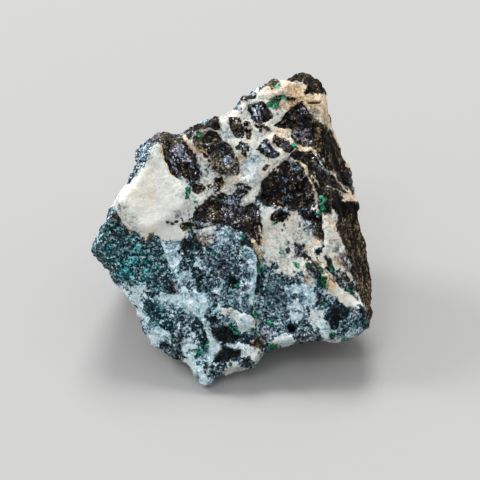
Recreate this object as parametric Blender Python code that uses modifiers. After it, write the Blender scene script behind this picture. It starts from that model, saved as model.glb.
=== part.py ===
"""Galena specimen: one hand-sized block of broken ore, 82 mm wide, resting on its underside.

The block is a single piece: dark galena clasts, milky quartz, bluish granular quartz and a brown
weathered rind grew and were cemented together, so they are one solid. It is built as
  1. a block skinned through the rim of the leaning front, its widest girdle and two hidden rings,
  2. flat breaks that take off the back and the underside,
  3. relief: lobes, clasts, scarps and ridges on the front, fibres on the rind, chips and ledges all over,
  4. a flat seat at Z = 0, under the centre of mass.

Front positions are (right, up, out) in mm in the plane of the leaning front, from its centre.
"""

import math

import bmesh
import bpy
import numpy as np
from mathutils import Vector, noise

MM = 0.001

FRONT_LEAN = math.radians(38)  # the broken front leans back this far from upright
FRONT_CENTRE = np.array([0.0, -12.0, 41.5])  # world mm
# Columns are the front's right, up and out directions.
FRONT_AXES = np.array(
    [
        [1, 0, 0],
        [0, math.sin(FRONT_LEAN), -math.cos(FRONT_LEAN)],
        [0, math.cos(FRONT_LEAN), math.sin(FRONT_LEAN)],
    ]
)
VOXEL = 0.8  # mm, the grid that the relief is worked on
TRIANGLES = 8800  # what the finished block is thinned to

# The block's outline seen square to the front: (right, up, rim inset, girdle depth) in mm. The front's rim
# lies the inset inside the outline, and the widest girdle lies the depth behind the rim.
GIRDLE = [
    (17.5, 44.5, 1.5, 6), (21.0, 45.4, 2.0, 7), (24.2, 44.9, 2.5, 8), (26.3, 42.8, 3.0, 9),
    (27.7, 40.0, 3.0, 10), (28.4, 34.5, 2.5, 11), (29.2, 30.0, 3.5, 12), (30.4, 27.8, 4.5, 13),
    (31.8, 24.5, 5.5, 14), (32.0, 22.6, 5.5, 14), (34.5, 18.7, 7.0, 15), (35.0, 15.5, 7.5, 15),
    (36.8, 9.0, 8.0, 15), (37.4, 6.5, 8.5, 14), (37.0, 3.2, 8.0, 16), (37.8, 0.0, 7.5, 16),
    (38.8, -4.2, 6.8, 16), (39.8, -8.0, 6.0, 16), (40.0, -12.5, 5.0, 15), (40.7, -16.5, 4.2, 14),
    (41.1, -22.5, 2.8, 13), (40.7, -28.0, 2.0, 12), (38.0, -30.2, 1.8, 10), (35.4, -32.0, 1.5, 9),
    (30.2, -33.3, 1.5, 8), (24.7, -32.2, 1.3, 8), (18.3, -33.8, 1.5, 8), (11.8, -34.8, 1.5, 7),
    (9.3, -36.4, 1.2, 6), (8.0, -38.4, 1.2, 6), (5.2, -40.6, 1.3, 6), (-0.3, -41.7, 1.3, 6),
    (-4.8, -43.4, 1.3, 5), (-6.2, -45.4, 1.3, 4), (-8.2, -45.3, 1.3, 4), (-10.6, -42.6, 1.5, 5),
    (-13.2, -38.8, 2.0, 6), (-17.7, -36.9, 2.5, 7), (-22.3, -34.3, 3.0, 8), (-25.3, -29.8, 3.5, 9),
    (-26.9, -24.7, 4.0, 9), (-30.5, -19.2, 4.0, 9), (-33.5, -15.9, 3.0, 8), (-36.4, -11.2, 1.8, 7),
    (-41.0, -6.1, 1.2, 6), (-40.0, -3.0, 1.2, 6), (-36.1, 2.6, 1.2, 6), (-34.9, 6.6, 1.5, 6),
    (-30.4, 13.2, 2.2, 7), (-27.6, 19.8, 3.0, 8), (-28.1, 23.0, 4.0, 9), (-25.4, 25.6, 3.5, 8),
    (-21.4, 27.8, 2.8, 8), (-18.8, 28.2, 2.2, 7), (-16.8, 27.0, 1.8, 7), (-15.0, 27.3, 1.8, 7),
    (-9.0, 31.0, 1.8, 7), (-4.4, 33.0, 1.8, 7), (-2.0, 32.6, 1.5, 6), (2.3, 36.4, 1.3, 6),
    (3.2, 38.3, 1.3, 6), (5.8, 39.4, 1.3, 6), (8.7, 41.7, 1.3, 6), (12.8, 43.7, 1.3, 6),
    (14.9, 43.2, 1.3, 6),
]
CORE = np.array([2.0, -1.0])  # (right, up) middle that the rim and the hidden rings draw in towards
HIDDEN_RINGS = [(0.94, 24.0), (0.76, 52.0)]  # (share of the outline kept, mm behind the front's plane)
FRONT_FALL_UP, FRONT_FALL_DOWN = 0.10, 0.12  # how fast the front falls back above and below its centre
FRONT_FALL_LEFT = 0.08

# Flat breaks of the back and the underside: (a point in world mm, azimuth and elevation that the break
# faces in degrees), azimuth 0 along +X and 90 along +Y.
BREAKS = {
    "back": ((0, 32, 15), 84, 5),
    "back_crown": ((14, 36, 61), 78, 44),
    "back_left": ((-27, 25, 30), 158, 6),
    "back_right": ((34, 9, 22), 28, -14),
    "left_shoulder": ((-20, 21, 54), 128, 48),
    "under_left": ((-15, 7, 0), 186, -62),
    "under_right": ((22, 7, 0), -4, -66),
    "under_back": ((0, 20, 0), 92, -58),
    "under_front": ((0, -12, 0), 270, -88.4),
    "seat": ((0, 0, 0), 0, -90),
}

# Areas of the front that stand proud (+) or lie back (-): (height, edge width, outline), all in mm.
LOBES = {
    "milky_quartz": (2.6, 3.5, [
        (-35, 6.5), (-30, 13), (-27.5, 19), (-24.5, 23), (-22.5, 25), (-20.5, 23), (-19.5, 20),
        (-17.5, 16), (-15, 13.5), (-13, 11.5), (-12.8, 7), (-14, 4), (-17.5, 2), (-20.5, 1),
        (-23.5, -1), (-25.5, -0.5), (-28, 1), (-31, 2), (-33.5, 4.5)]),
    "central_galena": (-0.9, 0.7, [
        (9, 14.2), (11.3, 17.7), (13.6, 19.1), (17.1, 20), (20, 18.3), (22.3, 15.7), (24, 11.3),
        (25, 8.4), (23.5, 6.7), (20, 6), (17.4, 5.2), (12.8, 6.4), (9, 7.8), (7, 9), (8.7, 12)]),
    "middle_galena": (-0.7, 0.7, [
        (-11, 4.6), (-9, 7), (-5.2, 9.3), (-1.7, 10.4), (0.6, 12.5), (5.5, 13), (5.8, 11.9),
        (3.5, 9), (2.6, 6.7), (5.5, 7.5), (7.8, 6), (8.7, 4), (8.7, -2.6), (7.5, -3.5),
        (5.5, -1.7), (3.5, -0.3), (1.2, 0.9), (-4.6, 2.6), (-9, 3.5)]),
    "crown_galena": (-0.8, 0.7, [
        (12.8, 30.2), (15.7, 33), (18.6, 35), (21.2, 35.7), (22, 34), (24.4, 32.2), (24.7, 28.7),
        (25, 23.8), (22.3, 23.5), (19, 25), (17.4, 26.7), (16.5, 29.3), (14.2, 29)]),
    "striated_galena": (0.7, 0.5, [
        (4.4, 36), (7.5, 37), (13.3, 37.2), (13.6, 34.5), (12.2, 31.5), (8.7, 30), (6.7, 31.6)]),
    "shard_galena": (0.8, 0.5, [
        (7.5, 23), (10.2, 26.4), (12.5, 27.2), (16, 26), (18, 22.3), (17.4, 21.2), (13.3, 20),
        (11, 19.8)]),
    "speckled_galena": (1.3, 1.2, [
        (-19, 26.3), (-15.4, 26), (-12.8, 23.8), (-10.2, 19.7), (-9.6, 15), (-10.2, 13),
        (-12.8, 13), (-15.4, 15), (-18, 20.3), (-19, 23.5)]),
    "dark_slab": (0.9, 0.8, [
        (24.7, 30.7), (27.8, 30.2), (30.5, 24), (34, 16.7), (30.7, 17.7), (27.8, 17.8), (25.5, 22.3)]),
    "rind_step": (1.6, 0.9, [
        (27, 11.6), (31, 12), (37.5, 9), (37.7, 5.5), (36.3, 2.8), (33.5, 3.4), (30.5, 5), (28, 8.7)]),
    "hollow": (-1.8, 3.0, [
        (9.8, 1.5), (20, 5), (24.5, 0), (22.5, -8), (25, -14), (30, -20), (26, -28), (14, -31),
        (10, -24), (9, -10)]),
    "lower_pit": (-1.6, 1.6, [
        (-6.1, -28.4), (-3.5, -27), (-0.5, -27.8), (3, -30), (4.6, -32), (2, -34), (-4, -33), (-6.4, -31)]),
    "white_knob": (1.5, 1.2, [
        (-1.5, -22.6), (2.3, -22.8), (6.7, -24.4), (7.5, -27.3), (5.8, -28.7), (2, -28.4), (-0.5, -26)]),
}

# Ledges: the front stands higher on the left of each line, as it is walked, and falls away from it over
# the reach: (height, reach, line), in mm.
SCARPS = {
    "lobe_edge": (2.3, 16.0, [
        (9.6, -35.6), (8.4, -32), (7.6, -27), (7.3, -20.6), (7.8, -14.5), (7.9, -9.5), (7, -6),
        (4.6, -2.9), (1.5, 0)]),
    "teal_ledge": (1.1, 9.0, [(-16.5, -12), (-19.5, -16.5), (-23, -17.4), (-27, -15.3), (-33, -15.6)]),
}

# Veins and the rind's ribs that stand up as narrow ridges: (height, half width, line), in mm.
RIDGES = {
    "cream_vein": (1.2, 1.1, [(23, -10.2), (27, -13.5), (30.5, -17), (34.2, -21), (37.7, -23.8)]),
    "long_vein": (0.8, 0.6, [(17.7, 20), (22.3, 16), (24.6, 11.5), (26.8, 7), (27.5, 1), (28.5, -5)]),
    "diagonal_vein": (0.9, 0.9, [(-19.5, -5), (-17, -10.5), (-14, -16), (-11.5, -21.5), (-8.5, -26), (-6, -31.5)]),
    "crown_vein": (0.8, 1.0, [(3, 33.5), (8, 38.4), (15, 40), (20, 38.4)]),
    "hub_vein": (0.9, 1.4, [(-1, 26), (5, 21.5), (7, 17.5), (5.5, 13), (0, 14.6)]),
    "rib_upper": (0.9, 0.7, [(27.8, 30), (31, 22), (34, 15), (36.5, 9)]),
    "rib_lower": (1.0, 0.8, [(30, 3.5), (34, -4), (37, -12), (38.5, -20), (39.3, -26)]),
}

CHIP_SIZE, CHIP_DEPTH = 9.0, 0.9  # mm, the conchoidal scoops between chipped edges
FACET_SIZE, FACET_TILT = 13.0, 2.6  # mm, the flat pieces of a break, each tilted its own way
GRAIN_SIZE, GRAIN_DEPTH = 2.4, 0.45
LEDGE_HEIGHT, LEDGE_DEPTH = 9.5, 1.1  # mm, the steps that run in places across the hidden sides
LEDGE_DIRECTION = np.array([0.30, 0.25, 0.92])
FIBRE_LENGTH, FIBRE_WIDTH, FIBRE_DEPTH = 16.0, 1.5, 0.7  # mm, the rind's streaks
FIBRE_DIRECTION = (0.34, -0.94)  # (right, up) run of the streaks down the rind

SEAT_CENTRE, SEAT_HALF = np.array([3.0, 5.0]), np.array([16.0, 13.0])  # world mm: the flat that the block rests on
SEAT_RISE = 0.06  # how fast the underside lifts off outside the seat


def to_world(front):
    """Rows of (right, up, out) in mm as world mm."""
    return np.asarray(front, float) @ FRONT_AXES.T + FRONT_CENTRE


def to_front(world):
    """Rows of world mm as (right, up, out) in mm."""
    return (world - FRONT_CENTRE) @ FRONT_AXES


def front_height(right, up):
    """mm out from the front's plane: a broad, gently domed face."""
    fall = np.where(up > 0, FRONT_FALL_UP * up, -FRONT_FALL_DOWN * up)
    return -fall - FRONT_FALL_LEFT * np.maximum(-right, 0)


def smooth_step(share):
    share = np.clip(share, 0, 1)
    return share * share * (3 - 2 * share)


def line_distance(points, line, closed=False):
    """mm from each (right, up) point to a line, and which side of its nearest stretch it lies on (+ left)."""
    starts = np.array(line, float)
    ends = np.roll(starts, -1, axis=0)
    if not closed:
        starts, ends = starts[:-1], ends[:-1]
    nearest = np.full(len(points), np.inf)
    side = np.zeros(len(points))
    for start, end in zip(starts, ends):
        along = end - start
        offset = points - start
        share = np.clip(offset @ along / (along @ along), 0, 1)
        gap = np.linalg.norm(offset - share[:, None] * along, axis=1)
        turn = along[0] * offset[:, 1] - along[1] * offset[:, 0]
        closer = gap < nearest
        nearest[closer] = gap[closer]
        side[closer] = np.sign(turn[closer])
    return nearest, side


def depth_inside(points, outline):
    """mm that each (right, up) point lies inside a closed outline; negative outside."""
    corners = np.array(outline, float)
    crossings = np.zeros(len(points), int)
    for start, end in zip(corners, np.roll(corners, -1, axis=0)):
        spans = (start[1] > points[:, 1]) != (end[1] > points[:, 1])
        rise = end[1] - start[1]
        if rise:
            reach = start[0] + (points[:, 1] - start[1]) * (end[0] - start[0]) / rise
            crossings += spans & (points[:, 0] < reach)
    gap = line_distance(points, outline, closed=True)[0]
    return np.where(crossings % 2 == 1, gap, -gap)


def front_relief(points):
    """mm that the front's details raise each (right, up) point."""
    raised = np.zeros(len(points))
    for height, edge, outline in LOBES.values():
        raised += height * smooth_step(0.5 + depth_inside(points, outline) / edge)
    for height, reach, line in SCARPS.values():
        gap, side = line_distance(points, line)
        raised += height * np.exp(-gap / reach) * (side > 0)
    for height, half_width, line in RIDGES.values():
        gap = line_distance(points, line)[0]
        raised += height * np.exp(-((gap / half_width) ** 2))
    return raised


def sampled(pattern, points):
    """One noise value for each row of points."""
    return np.array([pattern(Vector(point)) for point in points])


def fibre_relief(front):
    """Streaks that run down the weathered rind, in mm."""
    run = np.array(FIBRE_DIRECTION)
    across = np.array([-run[1], run[0]])
    stretched = np.column_stack(
        (
            front[:, :2] @ run / FIBRE_LENGTH,
            front[:, :2] @ across / FIBRE_WIDTH,
            front[:, 2] / FIBRE_WIDTH / 2,
        )
    )
    return FIBRE_DEPTH * sampled(noise.noise, stretched)


def broken_relief(world):
    """Chipped scoops and grain of a broken surface, in mm."""
    chips = sampled(lambda p: noise.voronoi(p)[0][0], world / CHIP_SIZE)
    grain = sampled(lambda p: noise.fractal(p, 0.8, 2.1, 3), world / GRAIN_SIZE / 2)
    return CHIP_DEPTH * (chips - 0.4) + GRAIN_DEPTH * grain


def facet_relief(world):
    """Flat pieces between cracks, in mm."""

    def tilted(place):
        middle = noise.voronoi(place)[1][0]
        return (place - middle).dot(noise.cell_vector(middle * 9.7) - Vector((0.5, 0.5, 0.5)))

    return FACET_TILT * sampled(tilted, world / FACET_SIZE)


def ledge_relief(world):
    """Steps where a break follows the rock's bedding, in mm."""
    wander = sampled(noise.noise, world / 17)
    stretch = smooth_step(0.5 + 1.6 * sampled(noise.noise, world / 15 + 40))
    height = world @ LEDGE_DIRECTION / LEDGE_HEIGHT + 1.4 * wander
    return LEDGE_DEPTH * stretch * (smooth_step((height % 1) / 0.8) - 0.5)


def block_rings():
    """The rim, girdle and hidden rings of the block, each as rows of world mm."""
    table = np.array(GIRDLE, float)
    outline, inset, depth = table[:, :2], table[:, 2], table[:, 3]
    inwards = CORE - outline
    inwards /= np.linalg.norm(inwards, axis=1)[:, None]
    rim = outline + inwards * inset[:, None]
    rings = [np.column_stack((rim, front_height(rim[:, 0], rim[:, 1])))]
    rings.append(np.column_stack((outline, rings[0][:, 2] - depth)))
    for share, behind in HIDDEN_RINGS:
        kept = CORE + (outline - CORE) * share
        rings.append(np.column_stack((kept, np.full(len(kept), -behind))))
    return [to_world(ring) for ring in rings]


def skin_block(mesh):
    """Skins the rings into one closed body."""
    body = bmesh.new()
    rings = [[body.verts.new(Vector(point) * MM) for point in ring] for ring in block_rings()]
    count = len(GIRDLE)
    for ring, behind in zip(rings, rings[1:]):
        for i in range(count):
            j = (i + 1) % count
            body.faces.new((ring[i], ring[j], behind[j], behind[i]))
    body.faces.new(rings[0])
    body.faces.new(rings[-1])
    bmesh.ops.triangulate(body, faces=body.faces)
    bmesh.ops.recalc_face_normals(body, faces=body.faces)
    for point, azimuth, elevation in BREAKS.values():
        flat = math.cos(math.radians(elevation))
        facing = (
            flat * math.cos(math.radians(azimuth)),
            flat * math.sin(math.radians(azimuth)),
            math.sin(math.radians(elevation)),
        )
        break_flat(body, Vector(point) * MM, Vector(facing))
    body.to_mesh(mesh)
    body.free()


def break_flat(body, point, facing):
    """Takes off everything past a plane and closes the break."""
    everything = body.verts[:] + body.edges[:] + body.faces[:]
    cut = bmesh.ops.bisect_plane(
        body, geom=everything, plane_co=point, plane_no=facing, clear_outer=True
    )
    rim = [piece for piece in cut["geom_cut"] if isinstance(piece, bmesh.types.BMEdge)]
    closed = bmesh.ops.edgenet_fill(body, edges=rim)
    bmesh.ops.triangulate(body, faces=closed["faces"])
    bmesh.ops.recalc_face_normals(body, faces=body.faces)


def apply_modifiers(block):
    """Replaces the block's mesh with its evaluated one."""
    graph = bpy.context.evaluated_depsgraph_get()
    mesh = bpy.data.meshes.new_from_object(block.evaluated_get(graph))
    block.modifiers.clear()
    block.data = mesh


def remesh(block):
    """An even skin to work the relief on."""
    skin = block.modifiers.new("Even skin", "REMESH")
    skin.mode = "VOXEL"
    skin.voxel_size = VOXEL * MM
    apply_modifiers(block)


def work_relief(block):
    """Moves the skin: front details along the front's normal, breaks along their own."""
    mesh = block.data
    count = len(mesh.vertices)
    world = np.empty(count * 3)
    facing = np.empty(count * 3)
    mesh.vertices.foreach_get("co", world)
    mesh.vertex_normals.foreach_get("vector", facing)
    world = world.reshape(-1, 3) / MM
    facing = facing.reshape(-1, 3)
    front = to_front(world)
    out = FRONT_AXES[:, 2]
    on_front = smooth_step((facing @ out - 0.25) / 0.4)
    rind_side = smooth_step((facing[:, 0] - 0.35) / 0.3) * smooth_step((front[:, 2] + 26) / 8)
    hidden = smooth_step((-front[:, 2] - 14) / 8) * (1 - on_front)
    raised = front_relief(front[:, :2]) * on_front
    along_normal = broken_relief(world) * (1 - 0.55 * on_front) * (1 - 0.6 * rind_side)
    along_normal += fibre_relief(front) * rind_side
    along_normal += (ledge_relief(world) + facet_relief(world)) * hidden
    moved = world + raised[:, None] * out + along_normal[:, None] * facing
    beyond = np.linalg.norm((moved[:, :2] - SEAT_CENTRE) / SEAT_HALF, axis=1) - 1
    lift = SEAT_RISE * SEAT_HALF.min() * beyond
    moved[:, 2] = np.where((beyond < 0) & (world[:, 2] < 1), 0, np.maximum(moved[:, 2], np.maximum(lift, 0)))
    mesh.vertices.foreach_set("co", (moved * MM).ravel())
    mesh.update()


def thin_out(block):
    """Fewer, larger facets, which settle along the block's edges."""
    block.data.calc_loop_triangles()
    thinned = block.modifiers.new("Facets", "DECIMATE")
    thinned.ratio = TRIANGLES / len(block.data.loop_triangles)
    thinned.use_collapse_triangulate = True
    apply_modifiers(block)


def settle(block):
    """Lays the seat's corners dead flat."""
    for corner in block.data.vertices:
        if corner.co.z < 0.06 * MM:
            corner.co.z = 0


def ore_material():
    ore = bpy.data.materials.new("galena_ore")
    ore.use_nodes = True
    finish = ore.node_tree.nodes["Principled BSDF"]
    finish.inputs["Base Color"].default_value = (0.23, 0.24, 0.25, 1)
    finish.inputs["Metallic"].default_value = 0.15
    finish.inputs["Roughness"].default_value = 0.5
    return ore


def main():
    for leftover in list(bpy.data.objects):
        bpy.data.objects.remove(leftover)
    mesh = bpy.data.meshes.new("ore_block")
    skin_block(mesh)
    block = bpy.data.objects.new("ore_block", mesh)
    specimen = bpy.data.collections.new("galena_specimen")
    bpy.context.scene.collection.children.link(specimen)
    specimen.objects.link(block)
    bpy.context.view_layer.update()
    remesh(block)
    work_relief(block)
    thin_out(block)
    settle(block)
    block.data.materials.clear()
    block.data.materials.append(ore_material())


main()
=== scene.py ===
# Galena specimen: the skin, crystals and stains of the ore block, with its floor, light and camera.

import math

import bmesh
import bpy
import numpy as np
from mathutils import Matrix, Vector, noise


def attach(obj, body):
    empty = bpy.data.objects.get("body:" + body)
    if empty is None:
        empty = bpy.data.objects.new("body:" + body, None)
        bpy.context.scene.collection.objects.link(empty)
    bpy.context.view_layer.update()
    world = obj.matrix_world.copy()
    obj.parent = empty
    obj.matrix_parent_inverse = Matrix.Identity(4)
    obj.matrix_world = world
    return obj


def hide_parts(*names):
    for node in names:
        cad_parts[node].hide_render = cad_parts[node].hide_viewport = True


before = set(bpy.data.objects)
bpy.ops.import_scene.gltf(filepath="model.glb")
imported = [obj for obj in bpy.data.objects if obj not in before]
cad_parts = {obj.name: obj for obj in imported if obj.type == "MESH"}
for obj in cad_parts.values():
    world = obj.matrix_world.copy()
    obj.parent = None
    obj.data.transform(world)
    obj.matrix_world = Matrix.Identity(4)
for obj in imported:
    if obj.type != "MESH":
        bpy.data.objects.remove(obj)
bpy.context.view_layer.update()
mm = 0.001
cellMiddle = (0.5, 0.5, 0.5)  # of a random colour or place

# The broken front leans back. Marks on it are drawn on a grid of 480 steps, from its top left.
frontPlane = {
    "lean": 38,  # degrees back from upright
    "centre": (0, -12, 41.5),  # world mm
    "step": 0.29,  # mm for one step of the grid
    "middle": (231, 229),  # grid point that lies on the centre
}
view = {
    "distance": 1.5,  # m from the front to the camera
    "aim": (240, 240),  # grid point in the middle of the view
    "width": 480,  # grid steps across it
    "sensor": 36,  # mm
    "clip": (0.05, 20),  # m
}
lean = math.radians(frontPlane["lean"])
frontCentre = np.array(frontPlane["centre"], float)
frontAxes = np.array(
    [[1, 0, 0], [0, math.sin(lean), -math.cos(lean)], [0, math.cos(lean), math.sin(lean)]]
)


def toFront(world):  # world mm to grid steps across and down, as the camera sees them, and mm out
    flat = (world - frontCentre) @ frontAxes
    closer = view["distance"] / (view["distance"] - flat[:, 2] * mm)
    across = flat[:, 0] / frontPlane["step"] + frontPlane["middle"][0] - view["aim"][0]
    down = frontPlane["middle"][1] - flat[:, 1] / frontPlane["step"] - view["aim"][1]
    return np.column_stack((view["aim"][0] + across * closer, view["aim"][1] + down * closer, flat[:, 2]))


def smoothStep(low, high, value):
    share = np.clip((value - low) / (high - low), 0, 1)
    return share * share * (3 - 2 * share)


def sampled(pattern, points):  # one noise value or vector for each row
    return np.array([pattern(Vector(point)) for point in points])


def cloud(points, size, shift=0):  # soft noise with lumps of this size, in mm
    return sampled(noise.noise, points / size + shift)


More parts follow.
